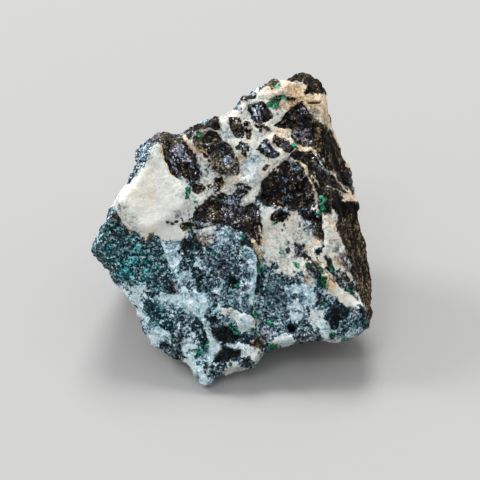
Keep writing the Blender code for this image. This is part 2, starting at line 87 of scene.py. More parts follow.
# Outlines and strokes are drawn in grid steps. A stroke ends with its width.
outlines = {
    "white": [  # milky and cream quartz
        [(283, 131), (300, 100), (310, 60), (345, 80), (368, 190), (385, 290), (375, 340), (362, 305),
         (352, 290), (354, 287), (340, 245), (322, 219), (317, 210), (316, 196), (306, 172), (290, 158),
         (300, 148)],
        [(155, 142), (162.5, 147), (165, 159), (172.5, 172), (177.5, 177), (185, 181), (189, 186),
         (187, 195), (189, 203), (188, 217), (190, 228), (189, 234), (182.5, 240), (173, 241.5),
         (161, 240), (158, 236), (150, 234), (146, 240), (140, 236), (135, 231), (126, 230), (121, 225),
         (115, 215), (112, 207), (100, 206), (117, 196), (118, 186), (130, 182), (140, 172), (146, 161),
         (150, 149)],
        [(182, 134), (190, 140), (205, 128), (219, 112), (236, 108), (250, 90), (285, 76), (300, 80),
         (330, 92), (334, 120), (350, 150), (340, 153), (333, 138), (324, 124), (316, 120), (306, 104),
         (285, 113), (283, 131), (302, 148), (285, 159), (270, 172), (262, 182), (258, 192), (254, 200),
         (246, 208), (236, 205), (215, 192), (200, 206), (196, 210), (189, 219), (186, 200), (186, 190),
         (199, 183), (203, 172), (197, 155)],
        [(262, 204), (272, 207), (285, 212), (296, 210), (303, 219), (311, 228), (317, 238), (322, 244),
         (327, 256), (331, 266), (322, 268), (313, 262), (307, 268), (298, 273), (290, 277), (281, 275),
         (272, 268), (265, 262), (262, 252), (260, 243), (262, 228)],
        [(322, 219), (328, 223), (335, 231), (339, 243), (344, 252), (348, 262), (352, 275), (354, 287),
         (349, 288), (343, 282), (336, 273), (329, 262), (325, 248), (322, 235)],
        [(319, 269), (324, 271), (331, 279), (336, 281), (345, 289), (353, 296), (362, 304), (353, 308),
         (344, 305), (337, 298), (330, 295), (326, 293), (329, 285), (325, 277)],
        [(270, 344), (278, 337), (285, 332), (292, 336), (295, 345), (290, 349), (283, 347), (275, 346)],
        [(311, 312), (318, 309), (325, 312), (322, 318), (326, 322), (330, 326), (334, 332), (330, 340),
         (340, 338), (345, 344), (335, 347), (328, 343), (320, 334), (314, 331), (310, 325), (309, 318)],
        [(345, 331), (353, 330), (355, 337), (347, 338)],
        [(201, 159), (209, 158), (215, 166), (217, 178), (210, 183), (203, 181), (200, 170)],
        [(223, 157), (227, 155), (232, 158), (232, 163), (228, 166), (223, 164)],
        [(285, 101), (294, 102), (291, 109), (284, 110)],
        [(238, 345), (250, 345), (260, 350), (258, 360), (246, 362), (240, 356)],
        [(224, 307), (231, 308), (236, 311), (241, 314), (249, 314), (256, 320), (256, 327), (250, 330),
         (243, 334), (239, 331), (237, 323), (230, 317), (223, 313)],
        [(208, 332), (213, 338), (219, 342), (223, 344), (221, 350), (216, 356), (211, 361), (207, 352)],
        [(224, 347), (228, 343), (240, 341), (246, 346), (240, 349), (230, 348)],
        [(228, 363), (236, 362), (241, 367), (250, 368), (258, 358), (262, 352), (266, 356), (255, 372),
         (230, 376), (222, 372)],
        [(304, 272), (310, 270), (313, 278), (315, 286), (309, 286), (303, 281)],
        [(263, 329), (267, 328), (269, 332), (266, 335), (262, 333)],
    ],
    "pale": [  # whiter bands in the granular quartz
        [(112, 282), (118, 285), (124, 287), (131, 286), (140, 283), (146, 285), (150, 291), (157, 293),
         (160, 299), (152, 299), (147, 300), (144, 304), (144, 312), (147, 318), (149, 324), (146, 326),
         (143, 320), (141, 326), (139, 332), (132, 322), (128, 305), (118, 294)],
        [(158, 293), (164, 290), (170, 295), (178, 295), (184, 298), (190, 300), (194, 306), (198, 312),
         (204, 318), (207, 324), (204, 328), (198, 320), (190, 311), (182, 307), (177, 310), (171, 304),
         (165, 302), (160, 299)],
        [(193, 287), (198, 288), (203, 292), (207, 297), (208, 306), (207, 314), (204, 318), (198, 313),
         (195, 308), (193, 300)],
        [(150, 333), (155, 328), (160, 326), (163, 331), (170, 334), (172, 338), (166, 340), (161, 342),
         (158, 349), (152, 350), (147, 343), (146, 337)],
        [(183, 340), (188, 338), (193, 341), (196, 346), (198, 352), (195, 356), (190, 352), (185, 356),
         (182, 350)],
        [(184, 358), (190, 352), (197, 354), (203, 357), (206, 352), (205, 346), (208, 340), (210, 345),
         (216, 352), (214, 357), (210, 362), (203, 361), (203, 370), (204, 374), (208, 378), (214, 378),
         (213, 386), (207, 390), (198, 388), (190, 378), (184, 368)],
        [(301, 284), (306, 286), (312, 287), (316, 293), (318, 300), (315, 305), (308, 307), (304, 303),
         (305, 297), (303, 290)],
        [(283, 287), (290, 285), (297, 283), (302, 285), (303, 291), (299, 295), (292, 293), (287, 296)],
        [(288, 301), (295, 300), (300, 303), (302, 310), (296, 310), (290, 309), (286, 305)],
        [(290, 313), (298, 311), (305, 314), (306, 319), (299, 321), (292, 319)],
        [(158, 241), (166, 242), (176, 243), (182, 241), (182, 256), (177, 262), (181, 270), (176, 275),
         (170, 268), (166, 256), (161, 249)],
        [(193, 255), (200, 258), (203, 268), (197, 271), (192, 264)],
        [(183, 272), (190, 268), (191, 280), (186, 283)],
        [(169, 285), (174, 284), (176, 288), (173, 291), (169, 290)],
        [(243, 246), (250, 244), (256, 254), (257, 275), (256, 300), (251, 306), (247, 300), (250, 285),
         (250, 268), (246, 256)],
    ],
    "dark": [  # dark clusters in the granular quartz
        [(143, 300), (149, 297), (153, 303), (158, 308), (163, 310), (168, 311), (172, 317), (165, 320),
         (158, 323), (152, 323), (148, 315), (144, 308)],
        [(144, 293), (152, 290), (158, 293), (154, 298), (147, 298)],
        [(175, 317), (182, 314), (187, 318), (184, 325), (177, 324)],
        [(160, 323), (167, 320), (174, 324), (178, 330), (172, 331), (165, 330)],
        [(171, 333), (176, 335), (178, 341), (173, 343), (170, 338)],
        [(159, 343), (166, 341), (169, 348), (165, 352), (160, 350)],
        [(169, 349), (175, 351), (181, 354), (184, 359), (177, 358)],
        [(190, 321), (199, 319), (203, 324), (200, 331), (193, 329)],
        [(199, 331), (205, 328), (207, 340), (204, 348), (200, 345), (198, 337)],
        [(183, 240), (191, 240), (193, 249), (190, 258), (183, 259), (179, 252)],
        [(192, 237), (199, 238), (200, 248), (195, 252), (191, 247)],
        [(188, 255), (194, 254), (195, 263), (190, 264)],
        [(192, 266), (199, 265), (203, 274), (199, 282), (193, 279)],
        [(182, 262), (187, 262), (188, 271), (183, 272)], [(197, 286), (203, 286), (202, 290), (198, 291)],
        [(157, 275), (165, 277), (171, 281), (174, 287), (173, 292), (168, 292), (160, 290), (155, 286)],
        [(228, 277), (236, 276), (240, 282), (237, 289), (230, 288)],
        [(243, 238), (250, 241), (256, 247), (252, 249), (244, 244)],
        [(211, 294), (217, 293), (218, 300), (213, 301)], [(207, 372), (213, 369), (216, 373), (211, 377)],
        [(222, 364), (227, 363), (228, 368), (223, 369)],
        [(234, 334), (246, 333), (255, 337), (250, 345), (236, 344)],
        [(241, 358), (247, 356), (252, 361), (249, 368), (243, 365)],
        [(257, 274), (262, 275), (264, 290), (260, 300), (257, 292)],
        [(296, 245), (304, 244), (307, 252), (303, 259), (297, 255)],
        [(312, 249), (322, 248), (323, 254), (315, 256)], [(309, 266), (313, 266), (313, 275), (309, 274)],
        [(325, 256), (332, 259), (334, 270), (328, 269)],
        [(329, 305), (336, 298), (341, 305), (350, 309), (348, 317), (341, 320), (338, 329), (332, 328),
         (329, 317)],
        [(286, 325), (293, 323), (298, 328), (295, 334), (288, 332)],
        [(346, 280), (352, 284), (358, 293), (352, 294), (345, 287)],
        [(361, 309), (367, 311), (369, 325), (362, 330), (360, 320)],
        [(270, 260), (279, 263), (277, 270), (270, 267)], [(283, 249), (289, 247), (291, 253), (286, 256)],
        [(324, 255), (332, 257), (336, 270), (330, 275), (325, 266)],
        [(272, 216), (282, 211), (288, 214), (280, 222)], [(196, 207), (203, 203), (206, 208), (199, 211)],
        [(123, 286), (127, 286), (127, 289), (123, 289)], [(128, 290), (133, 290), (133, 294), (129, 293)],
        [(141, 296), (144, 297), (143, 301), (140, 300)], [(136, 305), (139, 305), (139, 308), (136, 308)],
        [(141, 318), (144, 319), (143, 323), (140, 322)], [(352, 200), (358, 201), (358, 216), (352, 215)],
        [(338, 269), (345, 271), (351, 279), (350, 285), (343, 281), (337, 274)],
        [(129.5, 296), (132.5, 296), (132, 299.5), (129, 299)],
        [(179, 338), (181.5, 339), (181.5, 350), (178.5, 350)],
        [(204, 362), (207, 362), (207, 367), (205, 369), (204, 366)],
        [(316.5, 290), (320, 292), (320, 300), (318, 306), (315.5, 305), (317.5, 298)],
        [(195, 355), (198, 355), (197, 358), (195, 358)], [(196, 361), (200, 361), (200, 365), (197, 365)],
    ],
    "pitWithPaintedShade": [  # deep hollows, painted near black for the shade in them
        [(212, 330), (217, 326), (223, 324), (229, 327), (234, 332), (240, 336), (236, 341), (227, 342),
         (219, 340), (213, 335)],
        [(212, 361), (217, 355), (221, 349), (224, 343), (230, 346), (235, 350), (242, 350), (241, 357),
         (233, 361), (225, 362), (218, 363)],
        [(244, 360), (249, 358), (251, 363), (246, 365)],
        [(287, 326), (292, 324), (297, 328), (294, 333), (289, 331)],
        [(230, 279), (235, 278), (238, 283), (235, 287), (231, 286)],
        [(210, 318), (216, 316), (219, 321), (213, 325)],
        [(350.5, 243), (355, 242), (356, 248), (351.5, 249)],
        [(349, 204), (357, 203), (358, 217), (352, 216)],
    ],
    "teal": [  # dark block of copper-stained grains at the left
        [(80, 249), (92, 236), (98, 228), (104, 212), (111, 208), (117, 217), (121, 226), (127, 231),
         (135, 232), (140, 237), (146, 241), (150, 235), (159, 237), (162, 246), (165, 256), (170, 269),
         (177, 281), (177, 295), (170, 292), (160, 290), (149, 289), (145, 284), (132, 282), (120, 282),
         (108, 280), (96, 266)],
    ],
    "galena": [  # dark metallic crystals
        [(285, 159), (290, 160), (295, 165), (302, 171), (307, 177), (312, 187), (315, 197),
         (316.5, 206), (305, 207), (300, 208), (292, 211), (284, 208), (275, 206), (265, 204),
         (258, 201), (254, 197), (258, 195), (262, 193), (261, 185), (264, 179), (269, 174), (274, 167),
         (280, 163)],
        [(193, 213), (200, 205), (207, 200), (213, 196), (222, 193), (229, 195), (236, 189), (233, 185),
         (242, 183), (250, 184), (251, 188), (246, 195), (242, 201), (240, 206), (250, 203), (256, 206),
         (260, 212), (261.5, 222), (262, 232), (259, 242), (254, 241), (247, 237), (240, 231),
         (232, 227), (222, 224.5), (212, 223), (200, 221.5), (192, 219)],
        [(284, 114), (291, 109), (297, 103), (301, 101), (305, 105), (309, 113), (314, 118),
         (317.5, 124), (316, 131), (317, 143), (312, 147.5), (305, 148), (295, 143), (290, 136),
         (289, 128), (281, 129), (274, 126), (280, 120)],
        [(246, 104), (256, 102.5), (266, 102), (270, 108), (275, 117), (266, 122), (261, 124),
         (254, 123), (250, 118), (248, 110)],
        [(256, 150.5), (264, 140.5), (268, 137.5), (270.5, 143), (274, 148), (280, 153), (281, 157),
         (275, 158.5), (269, 158), (263, 155)],
        [(271, 143), (275, 134), (280, 138), (286, 139), (291, 145), (294, 150), (291, 155), (285, 152),
         (277, 147)],
        [(166, 147.5), (172.5, 140), (178, 138), (185, 137), (191, 149), (197.5, 158), (199, 171),
         (198, 180), (192, 183), (182.5, 177), (175, 174), (170, 165), (167, 155)],
        [(145, 143), (153, 134), (166, 131), (172, 134), (178, 137), (176, 140), (171, 144), (165, 146),
         (160, 143.5), (154, 141.5)],
        [(228, 117), (240, 117), (243, 125), (245, 133), (243, 138), (235, 138), (232, 131), (229, 125)],
        [(241, 143), (247, 142), (250, 147), (249, 154), (246, 158), (242, 154), (240, 149)],
        [(227, 168), (233, 165), (238, 164), (240, 172), (235, 176), (228, 176), (226, 172)],
        [(261, 171), (264, 167), (268, 164), (271, 165), (267, 169), (263, 172.5)],
        [(178, 139), (190, 128), (205, 121), (218, 114), (220, 122), (222, 131), (216, 131), (211, 128),
         (204, 131), (198, 133), (192, 136), (188, 140)],
        [(243, 118), (250, 121), (252, 131), (250, 140), (245, 138)],
        [(191, 135), (198, 132), (205, 131), (211, 129), (216, 132), (222, 139), (231, 145), (234, 153),
         (239, 160), (241, 171), (236, 177), (228, 177), (222, 175), (216, 172), (210, 167), (205, 160),
         (203, 152), (197, 147)],
        [(192, 186), (200, 185), (206, 187), (207, 190), (203, 194), (199, 195), (193, 191)],
        [(206, 183), (211, 181), (214, 186), (209, 190)],
        [(214, 178), (222, 176), (224, 184), (220, 191), (214, 192), (212, 186)],
        [(177, 224), (184, 222), (191, 222), (198, 225), (205, 228), (197, 229), (189, 229), (184, 230)],
        [(238, 102), (245, 98), (250, 95), (254, 90), (257, 94), (255, 98), (248, 101), (241, 104)],
        [(250, 93), (257, 87), (266, 82), (268, 86), (260, 91), (254, 95)],
        [(251, 124), (257, 125), (264, 124), (270, 127), (274, 131), (268, 131.5), (262, 129), (256, 130)],
        [(286, 97), (292, 96), (297, 98), (295, 101), (288, 100)],
        [(235, 108), (240, 107.5), (243, 112), (240, 114)],
        [(270, 217), (274, 211), (281, 209), (290, 213), (286, 220), (278, 223), (272, 222)],
        [(298, 213), (305, 206), (317, 206), (321, 220), (324, 230), (322, 240), (318, 237), (314, 227),
         (305, 219)],
        [(289, 156), (295, 150), (303, 149), (312, 150), (322, 158), (332, 170), (348, 168), (352, 176),
         (356, 190), (350, 200), (335, 201), (331, 214), (323, 217), (316, 206), (313, 192), (308, 178),
         (301, 168)],
        [(268, 84), (271, 80), (275.5, 77), (279, 82), (278, 86), (271, 90)],
        [(266, 102), (270, 99), (276, 96), (285, 94.5), (283, 99), (279, 104), (276, 108), (269, 107)],
    ],
    "rind": [  # brown fibrous weathering
        [(330, 196), (336, 191), (343, 201), (357, 201), (368, 210), (372, 235), (382, 262), (386, 310),
         (376, 334), (366, 324), (366, 313), (363, 304), (360, 296), (357, 285), (353, 275), (350, 263),
         (345, 251), (341, 239), (334, 228), (335, 213), (322, 190)],
        [(284, 80), (294, 73), (305, 66), (324, 68), (334, 84), (334, 95), (326, 94.5), (319, 94),
         (311, 93.5), (305, 95), (303.5, 93), (306.5, 90), (306, 86), (303, 82.5), (297, 83), (293, 81)],
        [(311, 117), (325, 123), (331, 130), (335, 139), (341, 151), (345, 160.5), (347, 171.5),
         (338, 172), (331, 170.5), (325, 160.5), (312, 149)],
    ],
    "tan": [  # rust-stained veins
        [(342.5, 193), (350, 193), (357, 196), (360, 200.5), (350, 201), (343, 199)],
    ],
    "paintedGlint": [  # painted highlights: the glints of cleavage faces and glittering edges
        [(127, 184), (126, 180), (131, 172), (136, 161), (131, 154), (134, 147), (143, 141), (150, 141),
         (149, 150), (146, 157), (145, 167), (139, 171), (135, 176), (129, 183)],
    ],
    "paintedSheen": [  # painted highlights: smooth cleavage faces and edges that catch the light
        [(262, 144), (266, 143), (270, 150), (266, 153)], [(178, 141), (182, 140), (184, 152), (180, 153)],
        [(223, 156.5), (227, 155), (231, 157), (232, 161), (229, 164.5), (225, 164.5), (222, 161)],
    ],
    "green": [  # malachite
        [(266, 103), (269, 101), (272, 103), (271, 107), (268, 107)],
        [(273, 103), (276, 101), (279.5, 103), (276, 107), (273, 108)],
        [(271, 99), (276, 97), (279, 98), (275, 101)], [(280, 97), (285, 94.5), (287, 97), (282, 100)],
        [(184, 188), (190, 187), (191, 192), (188, 196), (189, 199), (185, 198)],
        [(192, 200), (199, 201), (198, 204), (193, 203)], [(280, 249), (284, 252), (283, 255), (279, 253)],
        [(287, 240), (290, 243), (287, 245)], [(292, 260), (296, 262), (300, 265), (299, 269), (294, 266)],
        [(293, 270), (296, 271), (295, 273.5), (292, 273)],
        [(305, 263), (309, 263), (309, 268), (306, 268)], [(329, 264), (333, 266), (334, 273), (330, 272)],
        [(319, 265), (322, 268), (324, 274), (321, 274)],
        [(322, 276), (327, 276), (328, 288), (324, 289), (321, 283)],
        [(258, 266), (263, 267), (264, 273), (260, 273)], [(261, 260), (265, 261), (263, 263)],
        [(274, 274), (277, 274), (277, 277), (274, 277)],
        [(228, 322), (233, 323), (237, 328), (240, 334), (236, 335), (230, 329)],
        [(250, 328), (254, 328), (254, 333), (251, 332)],
        [(267, 321), (271, 320), (274, 324), (273, 327), (268, 325)],
        [(253, 312), (258, 312), (260, 316), (256, 318)],
        [(268, 345), (273, 343), (279, 344), (275, 348), (269, 350)],
        [(317, 328), (320, 329), (319, 333), (317, 332)], [(330, 332), (336, 333), (334, 338), (329, 337)],
        [(343, 336), (348, 337), (347, 342), (343, 341)],
        [(319, 196), (324, 195), (325, 203), (325.5, 211), (321, 210), (320, 203)],
        [(317, 211), (321, 211), (322, 217), (318, 217)], [(272, 221), (276, 222), (275, 226), (271, 225)],
        [(240, 234), (245, 236), (243, 239), (239, 237)], [(205, 340), (209, 341), (209, 348), (205, 347)],
        [(196, 350), (202, 350), (202, 355), (198, 356)], [(212, 251), (216, 252), (213, 255)],
        [(291, 143), (296, 144), (298, 149), (293, 148)], [(197, 133), (202, 134), (201, 137), (198, 137)],
        [(185, 227), (190, 227), (189, 230), (186, 230)], [(217, 200), (221, 200), (220, 203)],
        [(229, 362), (233, 363), (232, 367), (229, 366)], [(242, 352), (246, 352), (245, 355)],
        [(275, 86), (280, 84), (279, 88), (275, 89)], [(181, 309), (184, 310), (182, 313)],
        [(322, 302), (326, 302), (325, 306), (322, 305)],
        [(345, 286), (349, 289), (355, 294), (352, 295), (346, 291)],
        [(234, 285), (238, 284), (240, 287), (236, 289)], [(363, 318), (366, 320), (364, 324)],
    ],
}
strokes = {
    "white": [  # milky and cream quartz
        [(218, 115), (223, 128), (230, 137), (236, 144), 8], [(210, 133), (222, 139), (232, 143), 4],
        [(251, 143), (249, 155), (250, 166), (254, 180), (246, 200), (243, 208), 8],
        [(222, 184), (238, 180), (252, 176), 7], [(272, 133), (262, 135), (253, 138), 5],
        [(196, 230), (205, 228), (216, 227), 2.2], [(190, 221), (203, 223.5), (216, 226), (228, 230), 1.4],
        [(246, 331), (246, 337), (252, 341), 4],
    ],
    "pale": [  # whiter bands in the granular quartz
        [(213, 288), (218, 293), 3],
        [(160, 240), (168, 256), (174, 268), (180, 282), (188, 296), (196, 308), (204, 320), (209, 340),
         5],
        [(213, 312), (222, 308), 4], [(198, 228), (212, 232), (226, 240), 5],
    ],
    "dark": [  # dark clusters in the granular quartz
        [(304, 258), (310, 265), (316, 273), (320, 285), 4], [(335, 281), (345, 289), (357, 298), 2],
        [(166, 221.5), (173, 223), 1], [(352, 238), (356, 250), 2.2],
        [(349, 268), (355, 282), (358, 291), 2.6], [(268, 175), (273, 168), (277, 164), 1],
        [(222, 345), (226, 341), (236, 342), 1.2],
    ],
    "pitWithPaintedShade": [  # deep hollows, painted near black for the shade in them
        [(258, 262), (258, 275), (257, 290), 2.5], [(351, 270), (355, 280), (357, 292), 3.4],
    ],
    "tan": [  # rust-stained veins
        [(277, 131), (284, 131), (288, 136), 3], [(290, 143), (295, 147), (302, 151), (311, 149), 2.6],
        [(270, 141), (280, 149), (291, 160), 1.4],
        [(313, 151), (318, 160), (325, 167), (332, 174), (338, 182), (345, 189), (353, 196), 1.3],
        [(331, 171), (334, 177), 1.4], [(292, 160), (302, 163), 1],
        [(301, 162), (305, 168), (308, 174), 2.6],
        [(308, 174), (312, 184), (315, 194), (317, 205), (318, 214), 1.3],
        [(326, 187), (333, 188), (340, 191), (347, 195), 1.2], [(312, 177), (317, 183), (320, 188), 0.9],
        [(184, 136), (189, 143), (195, 152), 4], [(160, 146), (163, 154), (165, 163), 2.2],
        [(306, 247), (313, 256), (320, 265), (328, 273), (334, 280), 1.8],
        [(275, 206), (284, 209), (293, 214), 1], [(253, 240), (257, 247), (260, 255), (262, 261), 3],
        [(325, 219), (331, 223), (335, 230), 2.6], [(330, 98), (330, 112), (333, 126), 7],
        [(334, 128), (338, 138), (342, 148), 6], [(346, 158), (350, 165), (352, 171), 4],
        [(299, 228), (296, 236), 0.8], [(186, 202), (187.5, 212), (189, 222), 1],
        [(246, 214), (252, 226), (258, 239), 0.9], [(252, 211), (258, 224), (261, 236), 0.7],
        [(233, 200), (238, 210), 0.6], [(340, 262), (346, 272), (351, 281), 1.4],
    ],
    "paintedGlint": [  # painted highlights: the glints of cleavage faces and glittering edges
        [(176, 168), (179, 172), 1.8], [(319, 166), (324, 168), 1.8], [(325, 171), (330, 173), 1.8],
        [(239, 187), (243, 186), 1.6], [(252, 94), (262, 87), 2], [(106, 207), (111, 213), (110, 220), 3],
    ],
    "paintedSheen": [  # painted highlights: smooth cleavage faces and edges that catch the light
        [(251, 104), (254, 112), (257.5, 121), 1.3], [(255.5, 103.5), (258, 109), (260, 115), 2],
        [(258, 112), (260, 117), (262, 122), 0.9], [(261.5, 104), (263.5, 110), (265.5, 117), 0.8],
        [(252, 110), (254.5, 117), 0.7], [(263, 146), (266, 149), (269, 151), 2.6],
        [(298, 110), (302, 114), 0.9], [(300.5, 108.5), (304.5, 113), 0.9],
        [(303, 107.5), (306.5, 111.5), 0.9], [(169, 158), (172, 161), 2.4], [(172, 165), (178, 173), 1.3],
        [(184, 160.5), (191, 161), 1.6], [(190, 165), (194, 168), 1.3], [(240, 188), (243, 186.5), 1.6],
        [(233, 196), (238, 204), 1], [(236, 194), (242, 202), 1], [(230, 199), (234, 206), 0.9],
        [(252, 208), (257, 216), 0.9], [(291, 164), (295, 170), 1.2], [(283, 178), (286, 182), 1.4],
        [(298, 177), (301, 180), 1.2], [(320, 166), (324, 169), 1.4], [(325, 170), (330, 174), 1.4],
        [(212, 244), (220, 243), 0.9], [(247, 88), (254, 91), 1.4],
    ],
    "crackWithPaintedShade": [  # fissures: a groove, with painted shade along it
        [(246, 236), (253, 246), (258, 255), (258.5, 267), (258, 280), (257, 293), (255, 304),
         (252, 313), (257, 323), (256, 330), (260, 340), (264, 349), 1.4],
        [(306, 256), (312, 262), (317, 269), (321, 279), (323, 287), 1.6],
        [(163, 147), (166, 158), (172, 171), (179, 178), 1.6], [(309, 103.5), (319.5, 102.5), 1.8],
        [(113, 209), (118, 219), (127, 231), 1.2], [(189, 219), (189, 232), 0.7],
        [(200, 228), (222, 222), (240, 229), 0.8], [(222, 306), (233, 306), (242, 312), 1],
        [(253, 368), (262, 356), (270, 350), 1], [(320, 213), (322, 230), (324, 246), 1],
        [(343, 205), (350, 222), (356, 240), (360, 258), (362, 280), 1],
        [(338, 215), (345, 232), (350, 250), (354, 266), 0.8], [(352, 222), (358, 236), (362, 250), 0.8],
        [(362, 262), (365, 280), (366, 300), 0.8], [(320, 130), (328, 146), (335, 160), (341, 170), 0.8],
        [(301, 77), (311, 82), (318, 91), 0.7],
    ],
}
